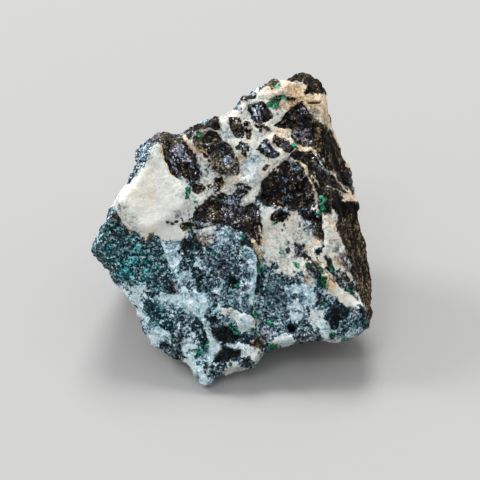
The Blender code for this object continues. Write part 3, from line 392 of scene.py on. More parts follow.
tints = {  # soft spots: grid steps across and down, radius in grid steps, strength
    "warm": [  # rust in the white quartz
        (138, 243, 8, 0.45), (155, 262, 8, 0.4), (139, 192, 15, 0.3), (149, 163, 5, 0.3),
        (149, 171, 5, 0.3), (149, 179, 5, 0.3), (150, 187, 5, 0.3), (151, 195, 5, 0.3),
        (152, 203, 5, 0.3), (133, 203, 9, 0.2), (152, 230, 8, 0.35), (165, 152, 4, 0.9),
        (173, 173, 4, 0.7), (290, 88, 10, 0.45), (300, 94, 12, 0.9), (314, 98, 12, 1.1),
        (326, 110, 8, 1.1), (329, 122, 7, 1.1), (336, 138, 8, 1.1), (342, 150, 6, 1.1),
        (283, 132, 9, 0.7), (303, 150, 8, 1), (205, 150, 8, 0.5), (262, 242, 4, 0.6), (272, 229, 4, 0.4),
        (331, 224, 4, 1), (340, 262, 6, 0.8), (325, 262, 6, 0.7), (330, 287, 6, 0.7), (222, 183, 6, 0.6),
        (236, 180, 6, 0.4), (290, 222, 7, 0.35), (282, 262, 7, 0.25), (268, 176, 4, 0.7),
        (273, 167, 4, 0.6), (196, 152, 4, 0.8), (287, 107, 7, 0.6), (318, 240, 5, 1.3),
        (306, 247, 4, 0.6), (253, 244, 6, 0.9), (347, 166, 6, 1), (230, 372, 8, 0.25), (258, 345, 5, 1.2),
        (205, 236, 10, 0.45), (213, 240, 8, 0.4), (256, 322, 4, 0.8), (350, 196, 8, 0.9),
        (297, 138, 4, 0.3), (115, 218, 5, 0.9), (128, 231, 5, 0.9), (150, 240, 7, 0.8),
        (282, 236, 14, 0.2), (300, 268, 9, 0.25), (262, 240, 6, 0.35), (345, 280, 6, 0.3),
        (215, 296, 5, 0.4), (212, 306, 5, 0.1), (258, 341, 5, 1.2), (202, 239, 7, 0.7),
        (315, 286, 6, 0.3), (262, 88, 10, 0.2), (275, 90, 8, 0.25), (296, 104, 6, 0.6),
        (280, 105, 5, 0.4), (330, 283, 7, 0.7), (240, 158, 6, 0.6), (205, 128, 6, 0.3),
        (325, 274, 5, 1.2), (331, 283, 5, 0.8), (345, 297, 10, 0.3), (284, 83, 7, 0.3), (268, 90, 9, 0.3),
        (333, 240, 8, 0.25), (307, 279, 5, 0.6), (318, 298, 3, 0.8), (163, 150, 4, 0.8),
        (168, 165, 4, 0.7), (173, 174, 4, 0.6), (300, 232, 8, 0.3), (337, 240, 4, 0.4),
        (336, 258, 5, 0.4), (307, 262, 5, 0.5), (325, 103, 6, 0.6),
    ],
    "olive": [  # grey-green to brown dirt
        (275, 103, 6, 1.1), (315, 111, 7, 0.7), (203, 137, 7, 0.9), (215, 160, 6, 0.5),
        (195, 145, 6, 0.8), (222, 160, 10, 0.5), (231, 171, 7, 0.6), (236, 158, 6, 0.6),
        (272, 84, 6, 1.2), (320, 222, 4, 1), (318, 236, 5, 1), (197, 225, 7, 0.8), (165, 138, 9, 1.3),
        (176, 140, 6, 1), (212, 140, 7, 0.5), (220, 188, 6, 0.5), (200, 190, 7, 0.6), (320, 262, 6, 0.4),
        (313, 268, 5, 0.9), (350, 290, 5, 0.7), (344, 277, 6, 1), (366, 296, 7, 0.5), (368, 316, 7, 0.8),
        (236, 127, 6, 0.8), (262, 342, 6, 0.8), (258, 232, 7, 0.5), (246, 218, 6, 0.4),
        (218, 210, 8, 0.6), (325, 195, 9, 0.5), (312, 165, 8, 0.4), (288, 190, 16, 0.25),
    ],
    "mauve": [  # purple-grey grains
        (312, 338, 13, 0.6), (344, 258, 6, 1), (347, 268, 6, 0.8), (338, 248, 5, 0.6), (300, 251, 7, 1.5),
        (178, 214, 4, 0.7), (156, 138, 6, 1.2), (304, 135, 9, 0.9), (181, 149, 6, 0.7),
        (188, 155, 6, 0.5), (172, 287, 4, 2.2), (250, 260, 8, 0.3), (249, 276, 6, 0.3),
        (224, 272, 5, 0.6), (345, 275, 7, 0.5), (244, 290, 8, 0.3), (228, 205, 8, 0.3),
        (309, 225, 7, 0.5), (215, 262, 16, 0.25), (232, 165, 5, 0.4), (285, 310, 18, 0.25),
        (173, 148, 4, 1), (230, 214, 8, 0.4), (218, 296, 6, 0.4), (230, 313, 6, 0.5), (265, 331, 4, 0.6),
        (355, 312, 5, 0.8),
    ],
    "cool": [  # blue-white quartz
        (195, 365, 22, 1.2), (240, 352, 18, 0.9), (215, 345, 12, 1), (285, 340, 12, 0.8),
        (325, 325, 16, 1), (130, 300, 20, 1), (252, 160, 12, 0.8), (252, 180, 8, 0.5),
        (200, 300, 12, 0.6), (140, 330, 12, 0.8), (225, 130, 8, 0.5), (245, 322, 12, 0.9),
        (264, 250, 6, 0.6), (350, 334, 8, 1), (308, 228, 8, 0.7), (210, 170, 8, 0.5), (185, 217, 8, 0.5),
        (180, 200, 9, 0.4), (268, 208, 7, 0.6), (295, 106, 6, 0.2), (246, 105, 6, 0.1), (190, 160, 8, 0.3),
    ],
    "light": [  # lighter (+) or darker (-) granular quartz
        (138, 294, 8, 0.3), (229, 236, 9, 0.45), (200, 300, 9, 0.1), (128, 296, 10, 0.3),
        (140, 312, 6, 0.5), (251, 257, 7, -0.6), (247, 264, 6, 0.1), (250, 280, 7, 0.2),
        (247, 298, 8, 0.3), (338, 312, 9, -0.9), (188, 250, 7, 0.5), (196, 272, 7, 0.35),
        (332, 322, 6, -1), (158, 310, 10, 0.2), (258, 113, 8, -1.1), (289, 289, 6, -0.5),
        (165, 138, 7, -0.4), (174, 268, 4, 0.6), (179, 278, 4, 0.8), (184, 288, 4, 0.6),
        (176, 150, 8, 0.9), (186, 158, 7, 1.05), (186, 172, 8, 0.3), (215, 150, 14, 0.6),
        (232, 165, 9, 0.8), (215, 210, 12, 0.5), (250, 222, 8, 0.9), (240, 200, 8, 0.6),
        (236, 126, 6, -0.3), (200, 128, 7, 0.5), (302, 136, 8, 0.4), (228, 300, 12, 0.25),
        (205, 252, 9, -0.15), (188, 250, 6, -0.3), (215, 262, 14, -0.4), (224, 275, 10, -0.2),
        (305, 296, 10, 0.25), (312, 303, 8, 0.2), (290, 300, 16, 0.1), (307, 297, 8, 0.25),
        (180, 302, 8, 0.4), (200, 300, 8, 0.2), (298, 315, 10, 0.2), (285, 318, 10, 0.4),
        (272, 320, 8, -0.1), (310, 338, 14, -0.1), (262, 252, 6, 0.2), (262, 340, 6, -0.4),
        (246, 345, 8, -0.4), (356, 318, 10, -0.1), (352, 330, 8, 0.3), (163, 300, 10, 0.3),
        (180, 300, 8, 0.1), (152, 337, 8, 0.6), (186, 345, 8, 0.5), (197, 364, 11, 1.1),
        (165, 314, 12, 0.2), (185, 330, 12, 0.2), (155, 326, 7, 0.4), (192, 336, 8, 0.3),
        (170, 345, 8, 0.1), (213, 300, 8, 0.1), (130, 300, 12, 0.75), (205, 240, 8, 0.25),
        (212, 372, 8, -0.3), (303, 252, 7, -0.5), (345, 300, 6, -0.4), (340, 312, 9, -0.5),
        (344, 262, 8, 0.1), (350, 278, 6, -0.2), (105, 245, 8, 0.2), (100, 238, 6, 0.35),
        (160, 258, 7, -0.2), (165, 284, 9, -0.35), (138, 225, 5, 0.2), (262, 362, 6, 0.3),
        (160, 270, 8, 0.55), (135, 256, 10, 0.15), (157, 311, 10, 0.55), (180, 325, 14, 0.25),
        (165, 336, 8, 0.4), (212, 298, 7, 0.6), (206, 330, 6, 0.5), (245, 290, 8, 0.3),
        (215, 370, 6, 0.6), (206, 240, 7, 0.6), (356, 313, 4, 0.9), (228, 357, 6, -0.5),
    ],
    "greyDirtAndShade": [  # white quartz made greyer: partly dirt, partly painted shade
        (178, 208, 7, 0.2), (118, 206, 9, 0.35), (129, 189, 8, 0.25), (128, 220, 7, 0.2),
        (205, 172, 9, 0.35), (226, 133, 7, 0.45), (250, 190, 6, 0.3), (240, 180, 6, 0.25),
        (309, 226, 6, 0.6), (286, 250, 5, 0.3), (300, 252, 6, 0.3), (312, 262, 5, 0.4),
        (344, 260, 7, 0.5), (352, 280, 6, 0.6), (308, 279, 6, 0.8), (265, 331, 4, 0.7),
        (140, 325, 8, 0.25), (212, 165, 8, 0.5), (262, 130, 6, 0.3), (295, 106, 7, 0.45),
        (283, 113, 5, 0.4), (246, 322, 8, 0.5), (215, 345, 8, 0.35), (285, 340, 9, 0.4),
        (320, 322, 8, 0.45), (333, 338, 8, 0.5), (195, 368, 10, 0.25), (245, 364, 9, 0.4),
        (312, 111, 7, 0.5), (340, 125, 10, 0.3), (262, 92, 6, 0.2), (198, 235, 8, 0.5),
        (255, 136, 5, 0.5), (243, 113, 6, 0.3), (330, 215, 6, 0.4), (345, 298, 7, 0.15),
        (350, 335, 5, 0.5), (232, 347, 7, 0.3), (238, 106, 7, 0.45), (178, 214, 4, 1), (169, 222, 4, 0.9),
        (300, 251, 6, 0.9), (232, 314, 6, 1.1), (215, 150, 13, 0.9), (232, 167, 9, 0.7),
        (200, 140, 8, 0.7), (280, 81, 9, 0.4), (222, 114, 8, 0.5), (206, 124, 8, 0.5), (153, 148, 8, 0.8),
        (152, 162, 9, 0.55), (280, 264, 10, 0.65), (250, 160, 9, 0.8), (236, 180, 8, 0.3),
        (228, 182, 10, 0.45), (245, 172, 12, 0.25), (248, 200, 8, 0.3), (262, 136, 6, 0.3),
        (250, 98, 6, 0.3),
    ],
    "smooth": [  # clean, even quartz
        (178, 276, 6, 0.8), (172, 232, 11, 1.2), (145, 190, 24, 1.2), (168, 210, 20, 1),
        (158, 165, 12, 0.8), (150, 225, 12, 0.7), (345, 297, 10, 0.6), (275, 290, 16, 0.6),
        (285, 312, 16, 0.5), (229, 236, 8, 0.9), (308, 296, 10, 1.2), (240, 298, 12, 0.9),
        (250, 262, 7, 0.6), (215, 255, 12, 0.3), (253, 275, 5, 0.8), (253, 290, 5, 0.8),
        (130, 300, 14, 0.9), (140, 322, 10, 0.6), (200, 300, 12, 0.7), (180, 300, 8, 0.6),
        (165, 297, 10, 0.8), (140, 300, 9, 0.8), (135, 318, 10, 0.8), (155, 337, 8, 0.7),
        (203, 302, 8, 0.6), (190, 345, 7, 0.5), (200, 378, 10, 0.8), (210, 348, 8, 0.6),
        (195, 370, 12, 0.7), (188, 350, 8, 0.5), (152, 335, 8, 0.5), (350, 300, 9, 0.6),
        (334, 287, 7, 0.6), (320, 320, 9, 0.5), (283, 340, 9, 0.5), (246, 321, 8, 0.5),
        (272, 222, 12, 0.4), (290, 232, 12, 0.4), (232, 180, 8, 0.4), (250, 165, 8, 0.3),
        (274, 90, 8, 0.4), (226, 236, 8, 0.3),
    ],
    "specks": [  # dark grains scattered in the quartz
        (210, 170, 10, 0.5), (230, 140, 8, 0.4), (262, 128, 7, 0.5), (282, 222, 9, 0.35),
        (295, 235, 10, 0.45), (308, 228, 7, 0.6), (284, 248, 7, 0.5), (302, 254, 9, 0.6),
        (315, 262, 8, 0.6), (342, 255, 8, 0.8), (346, 266, 8, 0.7), (335, 272, 8, 0.7),
        (352, 283, 8, 0.7), (295, 106, 7, 0.4), (170, 218, 8, 0.3), (182, 222, 7, 0.5),
        (200, 345, 14, 0.45), (170, 345, 14, 0.45), (212, 372, 10, 0.5), (240, 352, 9, 0.4),
        (250, 362, 8, 0.4), (130, 300, 9, 0.45), (140, 325, 8, 0.35), (320, 325, 10, 0.35),
        (348, 322, 12, 0.5), (290, 330, 12, 0.3), (242, 148, 7, 0.4), (225, 165, 12, 0.5),
        (255, 335, 8, 0.4), (198, 190, 8, 0.5), (272, 290, 12, 0.4), (230, 270, 20, 0.25),
        (205, 255, 14, 0.3), (290, 300, 20, 0.2), (165, 325, 16, 0.3), (325, 120, 8, 0.2),
    ],
    "mottle": [  # crystals broken up by quartz
        (217, 148, 12, 0.85), (232, 169, 8, 0.7), (198, 132, 9, 0.8), (200, 148, 8, 1.3),
        (210, 164, 8, 1.2), (247, 129, 7, 1), (186, 150, 6, 0.3), (236, 127, 6, 0.4), (245, 149, 7, 0.8),
        (218, 184, 6, 0.7), (303, 131, 7, 0.4), (308, 140, 7, 0.7), (205, 212, 10, 0.25),
        (315, 165, 10, 0.35), (330, 182, 9, 0.3), (320, 215, 7, 0.5), (318, 236, 6, 0.5),
        (238, 190, 8, 0.25), (262, 126, 7, 0.4), (245, 100, 6, 0.4), (274, 102, 7, 0.8),
        (310, 215, 8, 0.3), (205, 156, 8, 0.5),
    ],
    "rindLight": [  # lighter (+) or darker (-) rind
        (315, 112, 8, 0.8), (364, 285, 7, 0.3), (368, 300, 8, 0.3), (345, 228, 6, 0.3),
        (340, 205, 8, -2.6), (352, 208, 8, -1.2), (358, 262, 7, 0.1), (330, 148, 16, -0.45),
        (312, 83, 12, -0.35), (368, 318, 5, 1), (369, 304, 4, 0.9), (370, 290, 4, 0.6),
        (355, 226, 4, 0.8), (343, 222, 5, 0.4), (340, 165, 9, -0.6), (352, 245, 6, -0.3),
        (330, 140, 10, -0.5), (348, 182, 8, -0.8), (312, 80, 12, -0.4), (365, 240, 6, 0.3),
    ],
    "wrap": [  # where the face's pattern goes on round the edge
        (336, 134, 8, 1), (341, 147, 7, 1), (349, 164, 6, 1),
    ],
    "copper": [  # strong teal
        (123, 273, 6, 1.7), (127, 268, 5, 0.8), (134, 256, 6, 0.7), (129, 262, 6, 0.5),
        (148, 265, 5, 0.6), (152, 272, 5, 0.5), (149, 281, 5, 0.5), (140, 262, 8, 0.4),
        (138, 275, 9, 0.3), (112, 252, 6, 0.3), (108, 246, 6, 0.3), (137, 245, 5, 0.4),
        (204, 343, 5, 0.5), (198, 352, 6, 0.5), (168, 336, 6, 0.4), (212, 308, 5, 0.5),
        (317, 284, 4, 1.4), (322, 200, 4, 0.8), (354, 322, 6, 0.4), (195, 262, 6, 0.3),
        (185, 190, 4, 0.8), (296, 262, 4, 0.3), (228, 282, 8, 0.3), (155, 316, 8, 0.55),
        (158, 308, 9, 0.45), (166, 322, 8, 0.3), (304, 263, 3, 1),
    ],
    "swell": [  # mm that a spot stands out
        (194, 374, 4, 0.7), (202, 381, 4, 1.1), (210, 380, 3.5, 0.9), (237, 374, 5, -0.4),
        (252, 366, 4, 0.6), (274, 80, 3.5, 0.4), (223, 374, 4, 0.3), (129, 299, 7, 0.9),
        (144, 330, 7, 0.9), (92, 243, 6, 0.6), (108, 272, 6, -0.8), (119, 285, 4, -0.4),
        (191, 123, 6, -0.5), (236, 104, 6, -0.4), (111, 205, 8, -0.3), (318, 82, 6, 0.7),
        (328, 104, 6, 0.5), (341, 150, 6, 0.5), (357, 205, 8, 0.6), (371, 314, 8, 0.8),
        (152, 346, 6, 0.5), (136, 165, 4, 0.4), (304, 74, 8, 0.5), (369, 328, 5, 0.6), (358, 214, 5, 0.3),
        (101, 264, 5, -0.5), (113, 280, 5, -0.4), (365, 240, 6, -0.4), (370, 278, 5, -0.3),
        (139, 316, 5, 0.3),
    ],
    "paintedBlueSheen": [  # painted blue sheen: reflections on the dark crystals; more painted sparks come with it
        (181, 150, 5, 1), (183, 157, 4, 0.6), (292, 168, 5, 0.5), (285, 178, 6, 0.25), (300, 182, 6, 0.1),
        (300, 182, 8, -0.4), (282, 196, 6, 0.35), (292, 200, 6, 0.2), (266, 143, 5, 0.9),
        (273, 152, 5, 0.7), (322, 170, 6, 0.3), (258, 90, 8, 0.8), (235, 195, 9, 0.8), (240, 205, 6, 0.6),
        (228, 208, 8, 0.4), (255, 113, 9, 0.6), (302, 131, 6, 0.4), (225, 150, 8, 0.4),
        (244, 149, 5, 0.6), (196, 174, 5, 0.4), (250, 215, 6, 0.4), (300, 250, 6, 1), (340, 312, 9, 0.8),
        (232, 168, 6, 0.4), (140, 158, 14, 1),
    ],
}
markKinds = list({**outlines, **strokes})


def distanceToLine(points, corners, closed):  # grid steps from each point to a line
    starts = np.array(corners, float)
    ends = np.roll(starts, -1, axis=0)
    if not closed:
        starts, ends = starts[:-1], ends[:-1]
    nearest = np.full(len(points), np.inf)
    for start, end in zip(starts, ends):
        along = end - start
        offset = points - start
        share = np.clip(offset @ along / (along @ along), 0, 1)
        gap = offset - share[:, None] * along
        nearest = np.minimum(nearest, np.hypot(gap[:, 0], gap[:, 1]))
    return nearest


def insideOutline(points, corners):
    corners = np.array(corners, float)
    crossings = np.zeros(len(points), int)
    for start, end in zip(corners, np.roll(corners, -1, axis=0)):
        if start[1] == end[1]:
            continue
        spans = (start[1] > points[:, 1]) != (end[1] > points[:, 1])
        reach = start[0] + (points[:, 1] - start[1]) * (end[0] - start[0]) / (end[1] - start[1])
        crossings += spans & (points[:, 0] < reach)
    return crossings % 2 == 1


fieldReach = 12  # grid steps that a mark's distance is followed outside it


def closeTo(points, corners):  # the points within reach of a mark
    low, high = np.min(corners, axis=0) - fieldReach, np.max(corners, axis=0) + fieldReach
    return np.all((points > low) & (points < high), axis=1)


def markDepth(points, kind):  # mm inside the marks of one kind, and the number of the outline
    depth = np.full(len(points), -float(fieldReach))
    which = np.full(len(points), -1)
    for number, corners in enumerate(outlines.get(kind, [])):
        near = closeTo(points, corners)
        gap = distanceToLine(points[near], corners, True)
        gap = np.where(insideOutline(points[near], corners), gap, -gap)
        deeper = gap > depth[near]
        spots = np.flatnonzero(near)[deeper]
        depth[spots] = gap[deeper]
        which[spots] = number
    for *corners, width in strokes.get(kind, []):
        near = closeTo(points, corners)
        gap = width / 2 - distanceToLine(points[near], corners, False)
        depth[near] = np.maximum(depth[near], gap)
    return depth * frontPlane["step"], which


def tintStrength(points, kind):  # soft spots add up
    total = np.zeros(len(points))
    for across, down, radius, strength in tints[kind]:
        away = (points[:, 0] - across) ** 2 + (points[:, 1] - down) ** 2
        total += strength * np.exp(-away / radius**2)
    return total


hiddenRock = {  # the sides that no mark reaches carry on the same minerals in a made-up pattern
    "startsBehind": 9,  # mm behind the front's plane where the drawn marks give way
    "fadeOver": 5,  # mm that they take to do so
    "startWander": [(6, 90, 5), (2.2, 70, 2)],  # lump mm, shift, mm that the start wanders
    "wrapReach": 14,  # mm further back at a wrap spot
    "facingReach": 18,  # mm further back where the skin still faces the front
    "facingFrom": (-0.05, 0.16),  # how squarely it has to
    "clastSize": 17,  # mm
    "clastShare": 0.34,
    "milkyShare": 0.2,
    "clastWander": [(5, 1.6), (17, 3.2)],  # lump mm, mm that the clasts' edges wander
    "broad": (24, 7),  # lump mm and shift of the four patterns that the minerals share
    "patches": (11, 45),
    "small": (7, 31),
    "fine": (3.2, 61),
    "veinWidth": 2.6,
    "veinGap": 12,  # mm between the rusty veins
    "veinRun": (0.35, -0.6, 0.72),  # the way across them
    "rindFrom": 12,  # world mm along X: the right side is weathered
    "rindOver": 9,  # mm that the weathering takes to come in
    "none": -2.5,  # depth of what these sides don't have
}


def hiddenDepths(world, facing):  # the fields of marks and tints, mixed from four soft patterns
    size = hiddenRock["clastSize"]
    wander = sum(
        reach * sampled(noise.noise_vector, world / lump) for lump, reach in hiddenRock["clastWander"]
    )
    cells = [noise.voronoi(Vector(place)) for place in (world + wander) / size]
    first = np.array([cell[0][0] for cell in cells])
    second = np.array([cell[0][1] for cell in cells])
    spots = [cell[1][0] * 5.3 + Vector(cellMiddle) for cell in cells]  # one for each clast
    chance = np.array([noise.cell(spot) for spot in spots]) % 1
    toEdge = (second - first) * size / 2 - hiddenRock["veinWidth"] / 2
    broad, patches, small, fine = (
        cloud(world, *hiddenRock[name]) for name in ("broad", "patches", "small", "fine")
    )
    run = world @ np.array(hiddenRock["veinRun"]) + 9 * broad + 3 * small + 0.8 * fine
    vein = np.abs(run - hiddenRock["veinGap"] * np.round(run / hiddenRock["veinGap"]))
    weather = (world[:, 0] - hiddenRock["rindFrom"]) / hiddenRock["rindOver"]
    weather += facing[:, 0] * 1.4 + broad * 2.2 + small * 0.9
    milky = 4 * (broad + 0.02) + 1.5 * small + np.where(chance > 1 - hiddenRock["milkyShare"], toEdge, 0)
    depths = {
        "galena": np.where(chance < hiddenRock["clastShare"], toEdge, hiddenRock["none"]),
        "white": milky,
        "pale": 4 * (small - 0.12) + 2 * fine,
        "dark": 4 * (-0.22 - small) - 2 * fine - 3 * np.clip(milky, 0, 1),
        "rind": 2.2 * (weather - 0.6),
        "tan": 0.3 - vein * 1.4 - 8 * np.clip(0.05 - patches, 0, 1),
        "green": 3.2 * (fine - 0.44) + 2.2 * (small - 0.3) - 1.5 * np.clip(weather - 0.4, 0, 1),
        "crackWithPaintedShade": 0.1 - np.abs(toEdge + 0.5 * fine) * 1.5 - 8 * np.clip(patches + 0.1, 0, 1),
    }
    stains = {
        "warm": 1.8 * np.clip(patches - 0.12, 0, 1),
        "olive": 3 * np.clip(-patches - 0.2, 0, 1),
        "mauve": 3 * np.clip(small - 0.3, 0, 1),
        "cool": 0.6 - 2.5 * broad,
        "light": 0.15 + 0.5 * small,
        "greyDirtAndShade": 0.6 + 0.8 * small,
        "smooth": 2 * np.clip(broad, 0, 1),
        "specks": 0.25 - 0.5 * patches,
        "mottle": 0.5 + 1.5 * patches,
    }
    return depths, stains


rockSkin = {
    "seed": 3,  # of the ragged edges
    "weld": 0.001,  # mm between points that are one
    "voxel": 0.685,  # mm between points on the hidden sides; the front has half of it
    "frontFacing": 0.55,  # how squarely the skin faces the front to be made finer
    "frontBehind": 10,  # mm behind the front's plane where that ends
    "relax": (0.4, 2),  # how strongly and how often the steps of the voxels are smoothed
    "ragged": [(1.3, 0.6), (3.4, 1)],  # lump mm, share
    "warp": 0.5,  # mm that the marks' edges wander
    "crumbWarp": 0.12,  # the same for malachite crumbs and the painted highlights on shining edges
    "deepest": 3,  # mm in or out of a mark that its depth is followed
    "edge": (-0.15, 0.25),  # mm of depth over which a mark's relief comes in
    "leastShare": 0.01,  # share under which a mineral's relief is left out
    "roughSize": 2.2,  # mm across the roughness and the lumps of the quartz
    "lumpSize": 4.5,
    "crystalBlocks": [(4.2, 0.5, 0.55), (1.7, 0.3, 0.6)],  # mm across, mm of step, slope
    "crystalStretch": (1.25, 0.7, 0.6),
    "crystalTurn": (0.5, 1.9),  # radians: of the first crystal, and from each to the next
    "grainBlocks": [(3.4, 0.3, 0.35), (1.3, 0.3, 0.75)],
    "grainRough": 0.3,  # mm high
    "grainLumps": 0.45,
    "milkyBlocks": [(2.6, 0.1, 0.16)],
    "milkyRough": 0.14,
    "milkyLumps": 0.18,
    "milkyLift": 0.12,
    "calm": 0.6,  # share of these that clean quartz loses
    "fibreRun": (0.30, -0.95),  # across and up, the way the rind's fibres run
    # mm long, wide and thick, shift, share
    "fibres": [(13, 1.5, 2.6, 0, 0.9), (6, 0.6, 1, 50, 0.45), (2.6, 1.3, 2, 90, 0.35)],
    "fibreDepth": 0.9,
    "tanLift": 0.06,
    "greenLift": 0.25,
    "darkSink": 0.25,
    "pitDepth": 1.7,
    "pitEdge": (-0.3, 1.6),
    "crackDepth": 0.8,
    "crackEdge": (-0.35, 0.2),
    "crackCalm": 0.5,  # share of it that the hidden sides lose
    "seatEdge": (0.3, 1.6),  # mm over the floor where the relief comes in
}


def evaluatedMesh(rock):
    graph = bpy.context.evaluated_depsgraph_get()
    mesh = bpy.data.meshes.new_from_object(rock.evaluated_get(graph))
    rock.modifiers.clear()
    rock.data = mesh


def meshArrays(mesh):  # points in mm and normals
    places = np.empty(len(mesh.vertices) * 3)
    facing = np.empty(len(mesh.vertices) * 3)
    mesh.vertices.foreach_get("co", places)
    mesh.vertex_normals.foreach_get("vector", facing)
    return places.reshape(-1, 3) / mm, facing.reshape(-1, 3)


def rockBlank():  # an even skin over the ore block, twice as fine on the front
    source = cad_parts["ore_block"]
    rock = bpy.data.objects.new("oreSkin", source.data.copy())
    bpy.context.scene.collection.objects.link(rock)
    weld = rock.modifiers.new("weld", "WELD")
    weld.merge_threshold = rockSkin["weld"] * mm
    skin = rock.modifiers.new("evenSkin", "REMESH")
    skin.mode = "VOXEL"
    skin.voxel_size = rockSkin["voxel"] * mm
    bpy.context.view_layer.update()
    evaluatedMesh(rock)
    places, facing = meshArrays(rock.data)
    fine = facing @ frontAxes[:, 2] > rockSkin["frontFacing"]
    fine &= toFront(places)[:, 2] > -rockSkin["frontBehind"]
    body = bmesh.new()
    body.from_mesh(rock.data)
    body.verts.ensure_lookup_table()
    edges = [e for e in body.edges if fine[e.verts[0].index] and fine[e.verts[1].index]]
    bmesh.ops.subdivide_edges(body, edges=edges, cuts=1, use_grid_fill=True)
    body.to_mesh(rock.data)
    body.free()
    smooth = rock.modifiers.new("relax", "SMOOTH")
    smooth.factor, smooth.iterations = rockSkin["relax"]
    evaluatedMesh(rock)
    return rock


def hiddenShare(places, facing, front):  # 0 where the drawn marks hold, 1 on the hidden sides
    behind = -front[:, 2] - hiddenRock["startsBehind"]
    for lump, shift, reach in hiddenRock["startWander"]:
        behind += reach * cloud(places, lump, shift)
    behind -= hiddenRock["wrapReach"] * tintStrength(front[:, :2], "wrap")
    squarely = smoothStep(*hiddenRock["facingFrom"], facing @ frontAxes[:, 2])
    return smoothStep(0, hiddenRock["fadeOver"], behind - hiddenRock["facingReach"] * squarely)


def rockFields(places, facing):  # every mark's depth in mm and every tint, at every point of the skin
    front = toFront(places)
    ragged = sum(share * sampled(noise.noise_vector, places / lump) for lump, share in rockSkin["ragged"])
    ragged = ragged[:, :2] / frontPlane["step"]
    hidden = hiddenShare(places, facing, front)
    depths, stains = hiddenDepths(places, facing)
    deepest = rockSkin["deepest"]
    fields = {}
    for kind in markKinds:
        warp = rockSkin["crumbWarp"] if kind in ("green", "paintedSheen") else rockSkin["warp"]
        drawn, which = markDepth(front[:, :2] + ragged * warp, kind)
        if kind == "galena":
            clast = which
        drawn = np.clip(drawn, -deepest, deepest)
        madeUp = np.clip(depths.get(kind, hiddenRock["none"]), -deepest, deepest)
        fields[kind] = drawn * (1 - hidden) + madeUp * hidden
    for kind in tints:
        fields[kind] = tintStrength(front[:, :2], kind) * (1 - hidden) + stains.get(kind, 0) * hidden
    return fields, clast, hidden


def blockRelief(places, blocks):  # broken blocks: each has its own step and its own slope, in mm
    height = np.zeros(len(places))
    for size, step, slope in blocks:
        values = []
        for place in places / size:
            spot = Vector(place)
            middle = noise.voronoi(spot)[1][0]
            lie = noise.cell_vector(middle * 7.7)  # one for each block
            tilt = (spot - middle).dot(lie - Vector(cellMiddle))
            values.append(step * (lie.x - 0.5) + slope * size * tilt)
        height += values
    return height


def crystalRelief(places, clast):  # galena breaks in blocks, each crystal with its own lie
    height = np.zeros(len(places))
    flat = (places - frontCentre) @ frontAxes
    firstTurn, turnStep = rockSkin["crystalTurn"]
    for number in np.unique(clast):
        inside = clast == number
        turn = np.array(Matrix.Rotation(firstTurn + turnStep * number, 3, "Z"))
        lying = flat[inside] @ turn.T * rockSkin["crystalStretch"]
        height[inside] = blockRelief(lying, rockSkin["crystalBlocks"])
    return height


def fibreRelief(places):  # splinters that run down the rind, in mm
    flat = (places - frontCentre) @ frontAxes
    run = np.array(rockSkin["fibreRun"]) / np.linalg.norm(rockSkin["fibreRun"])
    side = np.array([-run[1], run[0]])
    lying = np.column_stack((flat[:, :2] @ run, flat[:, :2] @ side, flat[:, 2]))
    height = np.zeros(len(places))
    for long, wide, thick, shift, share in rockSkin["fibres"]:
        height += share * cloud(lying, np.array([long, wide, thick]), shift)
    return rockSkin["fibreDepth"] * height


def rockRelief(places, fields, clast, hidden):  # mm that each point stands out of the even skin
    shown = {kind: smoothStep(*rockSkin["edge"], fields[kind]) for kind in markKinds}
    galena = shown["galena"] * (1 - shown["tan"]) * (1 - shown["green"])
    rind = shown["rind"] * (1 - shown["tan"])
    white = shown["white"] * (1 - galena) * (1 - rind)
    granular = (1 - galena) * (1 - rind) * (1 - white)
    even = 1 - rockSkin["calm"] * fields["smooth"].clip(0, 1)  # clean quartz breaks flatter
    least = rockSkin["leastShare"]
    height = np.zeros(len(places))
    busy = galena > least
    height[busy] += galena[busy] * crystalRelief(places[busy], clast[busy])
    for share, blocks in ((granular, "grainBlocks"), (white * even, "milkyBlocks")):
        busy = share > least
        height[busy] += share[busy] * blockRelief(places[busy], rockSkin[blocks])
    busy = rind > least
    height[busy] += rind[busy] * fibreRelief(places[busy])
    rough = sampled(lambda spot: noise.fractal(spot, 0.9, 2.0, 3), places / rockSkin["roughSize"])
    lumps = cloud(places, rockSkin["lumpSize"])
    milky = even * (rockSkin["milkyRough"] * rough + rockSkin["milkyLumps"] * lumps)
    height += granular * (rockSkin["grainRough"] * rough + rockSkin["grainLumps"] * lumps)
    height += white * (milky + rockSkin["milkyLift"])
    height += fields["swell"]
    height += rockSkin["tanLift"] * shown["tan"] + rockSkin["greenLift"] * shown["green"]
    height -= rockSkin["darkSink"] * shown["dark"] * granular
    height -= rockSkin["pitDepth"] * smoothStep(*rockSkin["pitEdge"], fields["pitWithPaintedShade"])
    cracked = smoothStep(*rockSkin["crackEdge"], fields["crackWithPaintedShade"])
    height -= rockSkin["crackDepth"] * cracked * (1 - rockSkin["crackCalm"] * hidden)
    return height


def buildRock():
    noise.seed_set(rockSkin["seed"])
    rock = rockBlank()
    mesh = rock.data
    places, facing = meshArrays(mesh)
    print("skin points", len(places), "faces", len(mesh.polygons))
    fields, clast, hidden = rockFields(places, facing)
    print("marks and tints placed", len(fields))
    height = rockRelief(places, fields, clast, hidden)
    height *= smoothStep(*rockSkin["seatEdge"], places[:, 2])  # the seat stays flat
    places += facing * height[:, None]
    places[:, 2] = np.maximum(places[:, 2], 0)
    mesh.vertices.foreach_set("co", (places * mm).ravel())
    for kind, values in fields.items():
        layer = mesh.attributes.new(kind, "FLOAT", "POINT")
        layer.data.foreach_set("value", values.astype(np.float32))
    mesh.polygons.foreach_set("use_smooth", np.ones(len(mesh.polygons), bool))
    mesh.update()
    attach(rock, "root")
    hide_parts("ore_block")
    return rock


